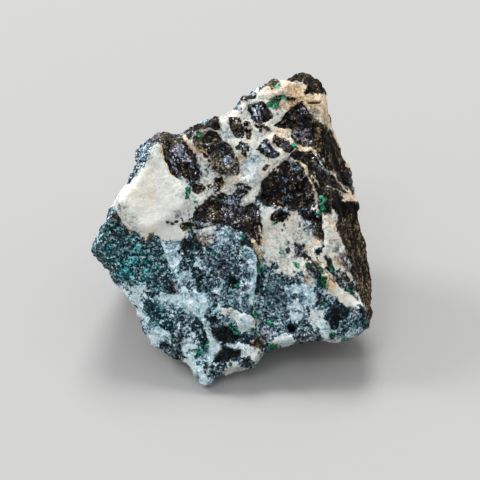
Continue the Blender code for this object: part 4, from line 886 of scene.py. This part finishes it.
class NodeBench:  # short calls for building a material
    def __init__(self, name):
        self.material = bpy.data.materials.new(name)
        self.material.use_nodes = True
        self.nodes = self.material.node_tree.nodes
        self.links = self.material.node_tree.links
        self.shader = self.nodes["Principled BSDF"]

    def put(self, socket, value):
        if isinstance(value, bpy.types.NodeSocket):
            self.links.new(value, socket)
        elif value is not None:
            socket.default_value = value

    def node(self, kind, *values, **settings):  # values for its first sockets
        node = self.nodes.new("ShaderNode" + kind)
        for name, value in settings.items():
            setattr(node, name, value)
        for socket, value in zip(node.inputs, values):
            self.put(socket, value)
        return node

    def fill(self, node, values):  # values for sockets by name
        for name, value in values.items():
            self.put(node.inputs[name], value)
        return node.outputs

    def field(self, name):
        return self.node("Attribute", attribute_name=name).outputs["Fac"]

    def maths(self, kind, *values):
        return self.node("Math", *values, operation=kind).outputs[0]

    def times(self, first, second):
        return self.maths("MULTIPLY", first, second)

    def plus(self, start, *pairs):  # start, and each value times its amount
        for value, amount in pairs:
            start = self.maths("MULTIPLY_ADD", value, amount, start)
        return start

    def less(self, share, amount=1.0):  # 1, less this much of a share
        return self.plus(1.0, (share, -amount))

    def sway(self, start, *pairs):  # start, moved both ways by patterns that run from 0 to 1
        return self.plus(start, *((self.maths("SUBTRACT", value, 0.5), amount) for value, amount in pairs))

    def vector(self, kind, *values):
        return self.node("VectorMath", *values, operation=kind).outputs[0]

    def parts(self, colour):  # its red, green and blue as three numbers
        return self.node("SeparateColor", colour).outputs

    def cloud(self, where, size, detail=3.0, rough=0.55, turn=0.0):  # size in mm
        values = {"Vector": where, "Scale": 1000 / size, "Detail": detail, "Roughness": rough}
        return self.fill(self.node("TexNoise"), {**values, "Distortion": turn})["Fac"]

    def bent(self, where, size, reach):  # the place, moved about by a soft pattern; both in mm
        wobble = self.fill(self.node("TexNoise"), {"Vector": where, "Scale": 1000 / size})["Color"]
        return self.vector("MULTIPLY_ADD", wobble, (reach * mm,) * 3, where)

    def cells(self, where, size):
        return self.fill(self.node("TexVoronoi"), {"Vector": where, "Scale": 1000 / size})["Color"]

    def between(self, value, low, high, out=(0.0, 1.0)):
        return self.node("MapRange", value, low, high, *out, interpolation_type="SMOOTHSTEP").outputs[0]

    def ramp(self, value, stops):
        node = self.node("ValToRGB", value)
        band = node.color_ramp
        while len(band.elements) < len(stops):
            band.elements.new(0.5)
        for element, (place, *colour) in zip(band.elements, stops):
            element.position = place
            element.color = screenColour(colour)
        return node.outputs["Color"]

    def blend(self, share, under, over):
        node = self.node("Mix", share, data_type="RGBA")
        for number, value in ((6, under), (7, over)):  # its sockets for colours
            self.put(node.inputs[number], value)
        return node.outputs[2]

    def blendNumber(self, share, under, over):
        return self.node("Mix", share, None, under, over).outputs[0]

    def stretch(self, where, tilt=0, turn=0, scale=(1, 1, 1)):  # degrees about X and Z
        rotation = (math.radians(tilt), 0, math.radians(turn))
        values = {"Vector": where, "Rotation": rotation, "Scale": scale}
        return self.fill(self.node("Mapping", vector_type="TEXTURE"), values)[0]

    def bump(self, height, depth, strength, normal):  # depth in mm
        values = {"Height": height, "Distance": depth * mm, "Strength": strength, "Normal": normal}
        return self.fill(self.node("Bump"), values)[0]


def screenColour(colour):  # 0-255 as seen on a screen, to the renderer's linear values
    share = [value / 255 for value in colour]
    linear = [v / 12.92 if v <= 0.04045 else ((v + 0.055) / 1.055) ** 2.4 for v in share]
    return (*linear, 1.0)


oreTones = {  # each mineral from dark, 0, to pale, 1: the place, then red, green and blue as on a screen
    "quartz": [(0, 2, 7, 11), (0.22, 24, 41, 50), (0.42, 58, 82, 95), (0.58, 94, 123, 138),
               (0.74, 140, 173, 189), (0.88, 186, 214, 227), (1, 226, 242, 250)],
    "rusty": [(0, 20, 16, 12), (0.35, 88, 80, 72), (0.65, 144, 136, 126), (1, 222, 214, 204)],
    "copper": [(0, 0, 24, 32), (0.35, 0, 76, 88), (0.6, 8, 120, 134), (0.8, 48, 160, 170),
               (1, 146, 214, 218)],
    "milky": [(0, 50, 58, 60), (0.25, 122, 129, 128), (0.5, 187, 193, 189), (0.72, 222, 225, 219),
              (1, 244, 244, 238)],
    "cool": [(0, 36, 54, 62), (0.25, 96, 118, 128), (0.5, 160, 184, 194), (0.72, 200, 218, 225),
             (1, 232, 243, 247)],
    "cream": [(0, 70, 52, 36), (0.3, 142, 116, 86), (0.55, 200, 172, 136), (0.78, 228, 206, 174),
              (1, 244, 232, 210)],
    "speck": [(0, 6, 8, 9), (0.6, 40, 44, 44), (1, 96, 104, 106)],
    "galena": [(0, 3, 3, 2), (0.3, 20, 16, 12), (0.5, 42, 34, 27), (0.7, 76, 64, 52), (0.86, 116, 101, 86),
               (1, 180, 168, 152)],
    # painted blue sheen, for the crystals and for the highlights on smooth faces
    "paintedBlueSheen": [(0, 5, 6, 10), (0.35, 28, 34, 46), (0.6, 70, 80, 98), (0.8, 124, 138, 160),
             (1, 206, 216, 232)],
    # painted sparks: bright glints on the crystals
    "paintedSpark": [(0, 96, 108, 128), (0.5, 172, 190, 212), (1, 250, 252, 255)],
    "olive": [(0, 8, 7, 4), (0.3, 42, 38, 26), (0.55, 82, 75, 54), (0.8, 134, 124, 94),
              (1, 186, 176, 142)],
    "mauve": [(0, 14, 12, 18), (0.35, 66, 62, 74), (0.6, 114, 108, 122), (0.8, 168, 160, 172),
              (1, 214, 208, 218)],
    "rind": [(0, 3, 2, 1), (0.22, 14, 11, 8), (0.5, 46, 38, 27), (0.75, 80, 68, 50), (0.9, 106, 92, 68),
             (1, 150, 134, 104)],
    "teal": [(0, 3, 14, 17), (0.25, 18, 38, 43), (0.5, 46, 74, 81), (0.7, 80, 116, 125),
             (0.86, 124, 162, 172), (1, 190, 218, 224)],
    "tan": [(0, 70, 58, 44), (0.4, 162, 142, 112), (0.7, 210, 192, 162), (1, 236, 224, 202)],
    # painted glitter: bright glints as colour
    "paintedGlitter": [(0, 4, 8, 14), (0.3, 30, 50, 68), (0.55, 96, 132, 158), (0.75, 178, 212, 234),
                (1, 248, 255, 255)],
    "green": [(0, 2, 22, 16), (0.35, 8, 64, 44), (0.65, 18, 112, 78), (0.85, 36, 148, 110),
              (1, 92, 190, 156)],
}
oreLook = {
    "grainyCloud": 1.0,  # mm, fine unevenness
    "patchyCloud": 4.2,  # broad unevenness
    "bendSize": 0.8,  # mm: the grains' edges bend this often
    "bend": 0.9,  # and this far
    "bigGrain": 2.1,  # mm across
    "grain": 1.05,
    "crumb": 0.46,
    "needle": 0.40,
    "needleShape": (1, 3.6, 1.6),
    "needleTurns": (40, -62, -8),  # degrees: the needles lie in three ways
    "wisp": 2.2,
    "wispShape": (1, 3.6, 1.5),
    "wispTurn": 27,
    "fibre": 0.55,
    "wideFibre": 2.0,
    "strand": 1.1,
    "fibreShape": (1, 11, 1.6),
    "splinter": 0.42,
    "splinterShape": (1, 6, 1.6),
    "fibreTurn": 20,
    "quartzTone": 0.46,  # the middle tone of each mineral
    "milkyTone": 0.70,
    "cleanTone": 0.79,
    "tealTone": 0.46,
    "crystalTone": 0.29,
    "rindTone": 0.30,
    "paintedGlitterTone": 0.37,
    "paintedSheenTone": 0.77,
    "greenTone": 0.50,
    "paintedSparkPull": -0.035,  # higher gives the crystals more painted sparks
    # painted shade in the pits
    "pitShadeColour": (3, 4, 4),
    # painted shade in the cracks
    "crackShadeColour": (14, 12, 10),
    "metallic": 0.8,
    "brightRough": (0.15, 0.4),
    "dullRough": (0.3, 0.9),
    "milkyRough": 0.5,
    "rindRough": 0.85,
    "specular": 0.15,
    "bump": 0.4,  # mm
}


def oreFinish():
    n = NodeBench("galenaOre")
    where = n.node("TexCoord").outputs["Object"]
    crooked = n.bent(where, oreLook["bendSize"], oreLook["bend"])
    tilt = frontPlane["lean"] - 90
    faceOn = n.stretch(crooked, tilt)
    grainy = n.cloud(where, oreLook["grainyCloud"], 3.0, 0.65)
    patchy = n.cloud(where, oreLook["patchyCloud"], 3.0, 0.6)
    grainCell = n.cells(crooked, oreLook["grain"])
    crumbCell = n.cells(crooked, oreLook["crumb"])
    bigTone, bigPick, bigKind = n.parts(n.cells(crooked, oreLook["bigGrain"]))
    grainTone, grainPick, grainKind = n.parts(grainCell)
    crumbTone, crumbPick, crumbKind = n.parts(crumbCell)
    jitter = n.sway(0.0, (grainy, 2.4), (grainKind, 0.5))

    def needles(turn):  # short splinters that lie one way
        lying = n.stretch(faceOn, 0, turn, oreLook["needleShape"])
        return n.parts(n.cells(lying, oreLook["needle"]))[0]

    def mask(name, edge, wander):  # where a mineral shows, with a ragged edge, in mm
        return n.between(n.plus(n.field(name), (jitter, wander)), -edge, edge)

    def shade(tone, name):
        return n.ramp(tone, oreTones[name])

    firstTurn, *turns = oreLook["needleTurns"]
    needle = needles(firstTurn)
    for turn, start in zip(turns, (0.32, 0.66)):
        needle = n.blendNumber(n.between(bigKind, start, start + 0.04), needle, needles(turn))

    # granular quartz: every grain has its own tone, with pale wisps
    wispPlace = n.stretch(n.stretch(where, tilt), 0, oreLook["wispTurn"], oreLook["wispShape"])
    wisps = n.cloud(wispPlace, oreLook["wisp"], 4.0, 0.65, 0.6)
    calm = n.between(n.field("smooth"), 0.0, 1.0)
    crumbs = n.times(n.sway(0.0, (needle, 0.86), (crumbTone, 0.56)), n.less(calm, 0.4))
    grains = n.sway(0.0, (grainTone, 0.38), (bigTone, 0.14), (grainy, 0.8))
    grains = n.plus(crumbs, (grains, n.less(calm, 0.7)))
    wispDepth = n.times(n.sway(0.0, (wisps, 3.9)), n.less(calm, 0.6))
    paleDepth = n.maths("ADD", wispDepth, n.sway(n.field("pale"), (grainPick, 0.7)))
    darkDepth = n.sway(n.field("dark"), (grainPick, 1.0))
    darkShare = n.between(darkDepth, -0.3, 0.3)
    paleShare = n.times(n.between(paleDepth, -0.6, 0.4), n.less(darkShare))
    tone = n.plus(n.sway(oreLook["quartzTone"], (patchy, 1.05)), (grains, n.less(paleShare, 0.55)))
    tone = n.plus(tone, (n.field("light"), 0.30), (paleShare, 0.42), (darkShare, -0.40))
    colour = shade(tone, "quartz")
    purer = n.less(paleShare, 0.7)
    for name, low, high, share in (("mauve", 0.60, 0.66, 0.4), ("olive", 0.86, 0.90, 0.35)):
        oddGrains = n.times(n.between(grainKind, low, high, (0.0, share)), purer)
        colour = n.blend(oddGrains, colour, shade(tone, name))
    colour = n.blend(n.between(crumbKind, 0.88, 0.92, (0.0, 0.35)), colour, shade(tone, "copper"))
    rustShare = n.between(n.sway(n.field("warm"), (grainy, 1.6)), 0.25, 0.9)
    colour = n.blend(rustShare, colour, shade(tone, "rusty"))
    coppery = shade(n.sway(n.times(tone, 0.85), (grainPick, 0.5), (needle, 0.7)), "copper")
    copperShare = n.between(n.sway(n.field("copper"), (grainKind, 1.2), (grainy, 2.0)), 0.35, 0.6)
    colour = n.blend(n.times(copperShare, 0.8), colour, coppery)

    # milky quartz, with rust near the crystals and loose dark grains
    roughTone = n.sway(oreLook["milkyTone"], (patchy, 1.2), (grainy, 1.3))
    roughTone = n.sway(roughTone, (grainTone, 0.26), (crumbTone, 0.34))
    softTone = n.sway(oreLook["cleanTone"], (crumbTone, 0.12), (patchy, 0.5), (grainy, 0.3))
    # greyer where there is dirt, and where shade is painted
    milkyTone = n.plus(n.blendNumber(calm, roughTone, softTone), (n.field("greyDirtAndShade"), -0.34))
    nearCrystal = n.between(n.field("galena"), -1.2, 0.1, (0.0, 0.5))
    warm = n.plus(n.field("warm"), (nearCrystal, n.times(patchy, 1.4)))
    warmShare = n.between(n.sway(warm, (grainy, 1.2)), 0.0, 1.1)
    coolShare = n.between(n.field("cool"), 0.0, 1.0)
    milky = n.blend(coolShare, shade(milkyTone, "milky"), shade(milkyTone, "cool"))
    milky = n.blend(warmShare, milky, shade(milkyTone, "cream"))
    milkyMask = n.times(mask("white", 0.25, 1.1), n.between(darkDepth, -0.1, 0.3, (1.0, 0.0)))
    colour = n.blend(milkyMask, colour, milky)
    speckDepth = n.sway(n.field("specks"), (patchy, 1.6), (grainPick, 1.0))
    speckMask = n.times(n.between(speckDepth, 0.72, 0.82), n.between(n.field("specks"), 0.05, 0.25))
    colour = n.blend(speckMask, colour, shade(crumbTone, "speck"))

    # teal block
    tealTone = n.sway(oreLook["tealTone"], (grainTone, 0.5), (crumbTone, 0.45))
    tealTone = n.sway(tealTone, (needle, 0.85), (grainy, 1.2))
    tealTone = n.plus(tealTone, (n.field("light"), 0.3))
    browned = n.between(n.sway(n.field("warm"), (grainPick, 1.0)), 0.85, 1.0)
    teal = n.blend(browned, shade(tealTone, "teal"), shade(tealTone, "rind"))
    colour = n.blend(mask("teal", 0.2, 0.9), colour, n.blend(copperShare, teal, coppery))

    # dark crystals, with painted highlights: bright specks where they break
    crystalTone = n.plus(oreLook["crystalTone"], (n.field("light"), 0.25))
    crystalTone = n.sway(crystalTone, (patchy, 0.7), (grainy, 1.0), (needle, 0.66))
    crystalTone = n.sway(crystalTone, (crumbTone, 0.56), (grainTone, 0.36), (bigPick, 0.28))
    # painted blue sheen on the crystals
    paintedBlueSheenShare = n.between(n.sway(n.field("paintedBlueSheen"), (grainPick, 1.0)), 0.2, 0.6)
    crystal = n.blend(paintedBlueSheenShare, shade(crystalTone, "galena"), shade(crystalTone, "paintedBlueSheen"))
    # painted sparks: bright glints, more of them where the blue sheen is painted
    paintedSparkPull = n.plus(n.sway(oreLook["paintedSparkPull"], (patchy, 1.2)), (n.field("paintedBlueSheen"), 0.22))
    paintedSpark = n.between(n.maths("ADD", crumbPick, paintedSparkPull), 0.97, 1.0)
    crystal = n.blend(paintedSpark, crystal, shade(crumbKind, "paintedSpark"))
    mottled = n.times(n.field("mottle"), n.sway(0.4, (grainy, 3.0), (grainKind, 2.0)))
    crystalDepth = n.plus(n.field("galena"), (mottled, -1.3), (jitter, 0.7))
    crystalMask = n.between(crystalDepth, -0.12, 0.12)
    colour = n.blend(crystalMask, colour, crystal)

    # brown-green dirt and purple-grey grains
    dirtTone = n.sway(crystalTone, (patchy, 0.8))
    mauveTone = n.sway(tone, (crumbTone, 0.2))
    for name, share, stainTone in (("olive", 0.8, dirtTone), ("mauve", 0.7, mauveTone)):
        stain = n.between(n.sway(n.field(name), (grainy, 1.4), (grainKind, 0.7)), 0.3, 0.8)
        colour = n.blend(n.times(stain, share), colour, shade(stainTone, name))

    # rind: dry fibres that run down its length
    fibrePlace = n.stretch(faceOn, 0, oreLook["fibreTurn"], oreLook["fibreShape"])
    splinterPlace = n.stretch(faceOn, 0, oreLook["fibreTurn"], oreLook["splinterShape"])
    streak = n.cloud(fibrePlace, oreLook["fibre"], 4.0, 0.75, 0.8)
    streakWide = n.cloud(fibrePlace, oreLook["wideFibre"], 3.0, 0.6, 0.8)
    splinter = n.parts(n.cells(splinterPlace, oreLook["splinter"]))
    strand = n.maths("SUBTRACT", n.cloud(fibrePlace, oreLook["strand"], 2.0, 0.5, 0.6), 0.5)
    strand = n.between(n.maths("ABSOLUTE", strand), 0.0, 0.045, (0.62, 0.0))
    strand = n.times(strand, n.between(splinter[1], 0.2, 0.8))
    strand = n.times(strand, n.between(n.field("rindLight"), -1.0, 0.0))
    rindTone = n.sway(oreLook["rindTone"], (splinter[0], 0.85), (streakWide, 2.6), (streak, 3.4))
    rindTone = n.sway(n.maths("ADD", rindTone, strand), (patchy, 1.0), (needle, 0.2))
    rindTone = n.plus(rindTone, (n.field("rindLight"), 0.30))
    rindMask = mask("rind", 0.2, 0.6)
    colour = n.blend(rindMask, colour, shade(rindTone, "rind"))

    # veins, painted glitter, painted highlights on shining faces, hollows and cracks with painted shade,
    # and malachite
    tanMask = mask("tan", 0.12, 0.4)
    colour = n.blend(tanMask, colour, shade(roughTone, "tan"))
    # painted highlights: glints on cleavage faces and glittering edges
    paintedGlitterMask = n.times(mask("paintedGlint", 0.1, 0.3), n.between(crumbPick, 0.10, 0.25))
    paintedGlitter = n.sway(oreLook["paintedGlitterTone"], (crumbKind, 1.2), (grainPick, 0.8))
    colour = n.blend(paintedGlitterMask, colour, shade(paintedGlitter, "paintedGlitter"))
    # painted highlights on smooth cleavage faces and edges
    paintedSheenMask = n.between(n.sway(n.field("paintedSheen"), (crumbTone, 0.12)), -0.08, 0.04)
    paintedSheen = n.sway(oreLook["paintedSheenTone"], (crumbPick, 0.3), (grainy, 1.8))
    colour = n.blend(paintedSheenMask, colour, shade(paintedSheen, "paintedBlueSheen"))
    # painted shade: the pits are coloured near black
    pitShade = n.between(n.plus(n.field("pitWithPaintedShade"), (jitter, 0.8)), -0.2, 0.35)
    colour = n.blend(n.times(pitShade, 0.93), colour, screenColour(oreLook["pitShadeColour"]))
    # painted shade: the cracks are coloured nearly black
    crackShadeMask = n.between(n.sway(n.field("crackWithPaintedShade"), (crumbTone, 0.25)), -0.2, 0.1)
    colour = n.blend(n.times(crackShadeMask, 0.9), colour, screenColour(oreLook["crackShadeColour"]))
    greenMask = mask("green", 0.2, 0.6)
    green = n.sway(oreLook["greenTone"], (grainPick, 0.6), (needle, 0.8))
    colour = n.blend(greenMask, colour, shade(green, "green"))

    # gloss: the crystals and the painted glitter shine, the rest is dull
    covered = n.maths("MAXIMUM", n.maths("MAXIMUM", rindMask, tanMask), greenMask)
    metal = n.times(crystalMask, n.less(covered))
    shiny = n.times(metal, n.between(grainPick, 0.45, 0.8))
    shiny = n.maths("MAXIMUM", shiny, n.times(paintedGlitterMask, 0.5))
    bright = n.between(crumbTone, 0.0, 1.0, oreLook["brightRough"])
    dull = n.between(crumbPick, 0.0, 1.0, oreLook["dullRough"])
    dull = n.blendNumber(milkyMask, dull, oreLook["milkyRough"])
    dull = n.blendNumber(rindMask, dull, oreLook["rindRough"])

    # each grain leans its own way
    leaning = n.vector("SUBTRACT", n.blend(n.times(metal, 0.6), grainCell, crumbCell), cellMiddle)
    leanShare = n.blendNumber(milkyMask, n.blendNumber(metal, 0.5, 1.0), 0.15)
    leaning = n.vector("SCALE", leaning, None, None, leanShare)
    leaning = n.vector("ADD", n.node("NewGeometry").outputs["Normal"], leaning)
    relief = n.plus(n.times(crumbTone, 0.3), (needle, 0.4), (grainy, 0.7))
    values = {
        "Base Color": colour,
        "Metallic": n.times(shiny, oreLook["metallic"]),
        "Roughness": n.blendNumber(shiny, dull, bright),
        "Specular IOR Level": oreLook["specular"],
        "Normal": n.bump(relief, oreLook["bump"], 0.6, n.vector("NORMALIZE", leaning)),
    }
    n.fill(n.shader, values)
    return n.material


studio = {
    "floorColour": (170, 170, 169),
    "floorRough": 0.9,
    "floorSize": 4.0,  # m
    "lamps": {  # m and W
        "backLamp": {"place": (0.0, 1.72, 2.82), "size": 1.4, "power": 80},
        "leftLamp": {"place": (-2.4, 0.88, 2.08), "size": 1.4, "power": 49},
        "frontLamp": {"place": (-0.88, -1.5, 2.82), "size": 0.9, "power": 15},
    },
    "aim": (0, 0, 0.03),  # where the lamps point
    "sky": 0.70,
}


def buildFloor():
    mesh = bpy.data.meshes.new("studioFloor")
    side = studio["floorSize"] / 2
    corners = [(-side, -side, 0), (side, -side, 0), (side, side, 0), (-side, side, 0)]
    mesh.from_pydata(corners, [], [(0, 1, 2, 3)])
    floor = bpy.data.objects.new("studioFloor", mesh)
    bpy.context.scene.collection.objects.link(floor)
    paper = NodeBench("palePaper")
    values = {
        "Base Color": screenColour(studio["floorColour"]),
        "Roughness": studio["floorRough"],
        "Specular IOR Level": 0,
    }
    paper.fill(paper.shader, values)
    mesh.materials.append(paper.material)


def buildLamp(name, lamp):
    light = bpy.data.lights.new(name, "AREA")
    light.shape = "DISK"
    light.size = lamp["size"]
    light.energy = lamp["power"]
    holder = bpy.data.objects.new(name, light)
    holder.location = lamp["place"]
    holder.rotation_euler = (Vector(studio["aim"]) - holder.location).to_track_quat("-Z", "Y").to_euler()
    bpy.context.scene.collection.objects.link(holder)


def buildStudio():
    buildFloor()
    for name, lamp in studio["lamps"].items():
        buildLamp(name, lamp)
    world = bpy.data.worlds.new("softBox")
    world.use_nodes = True
    colour, strength = world.node_tree.nodes["Background"].inputs[:2]
    colour.default_value = (1, 1, 1, 1)
    strength.default_value = studio["sky"]
    bpy.context.scene.world = world
    bpy.context.scene.view_settings.view_transform = "Standard"


def buildCamera():
    camera = bpy.data.objects.new("camera", bpy.data.cameras.new("camera"))
    bpy.context.scene.collection.objects.link(camera)
    step, middle = frontPlane["step"] * mm, frontPlane["middle"]
    flat = np.array([(view["aim"][0] - middle[0]) * step, (middle[1] - view["aim"][1]) * step, 0])
    aim = Vector(frontCentre * mm + frontAxes @ flat)
    out = Vector(frontAxes[:, 2])
    camera.location = aim + out * view["distance"]
    camera.rotation_euler = (-out).to_track_quat("-Z", "Y").to_euler()
    camera.data.sensor_width = view["sensor"]
    camera.data.lens = view["sensor"] * view["distance"] / (view["width"] * step)
    camera.data.clip_start, camera.data.clip_end = view["clip"]
    bpy.context.scene.camera = camera


rock = buildRock()
print("rock built")
rock.data.materials.clear()
rock.data.materials.append(oreFinish())
print("finish set")
buildStudio()
buildCamera()
print("studio set")
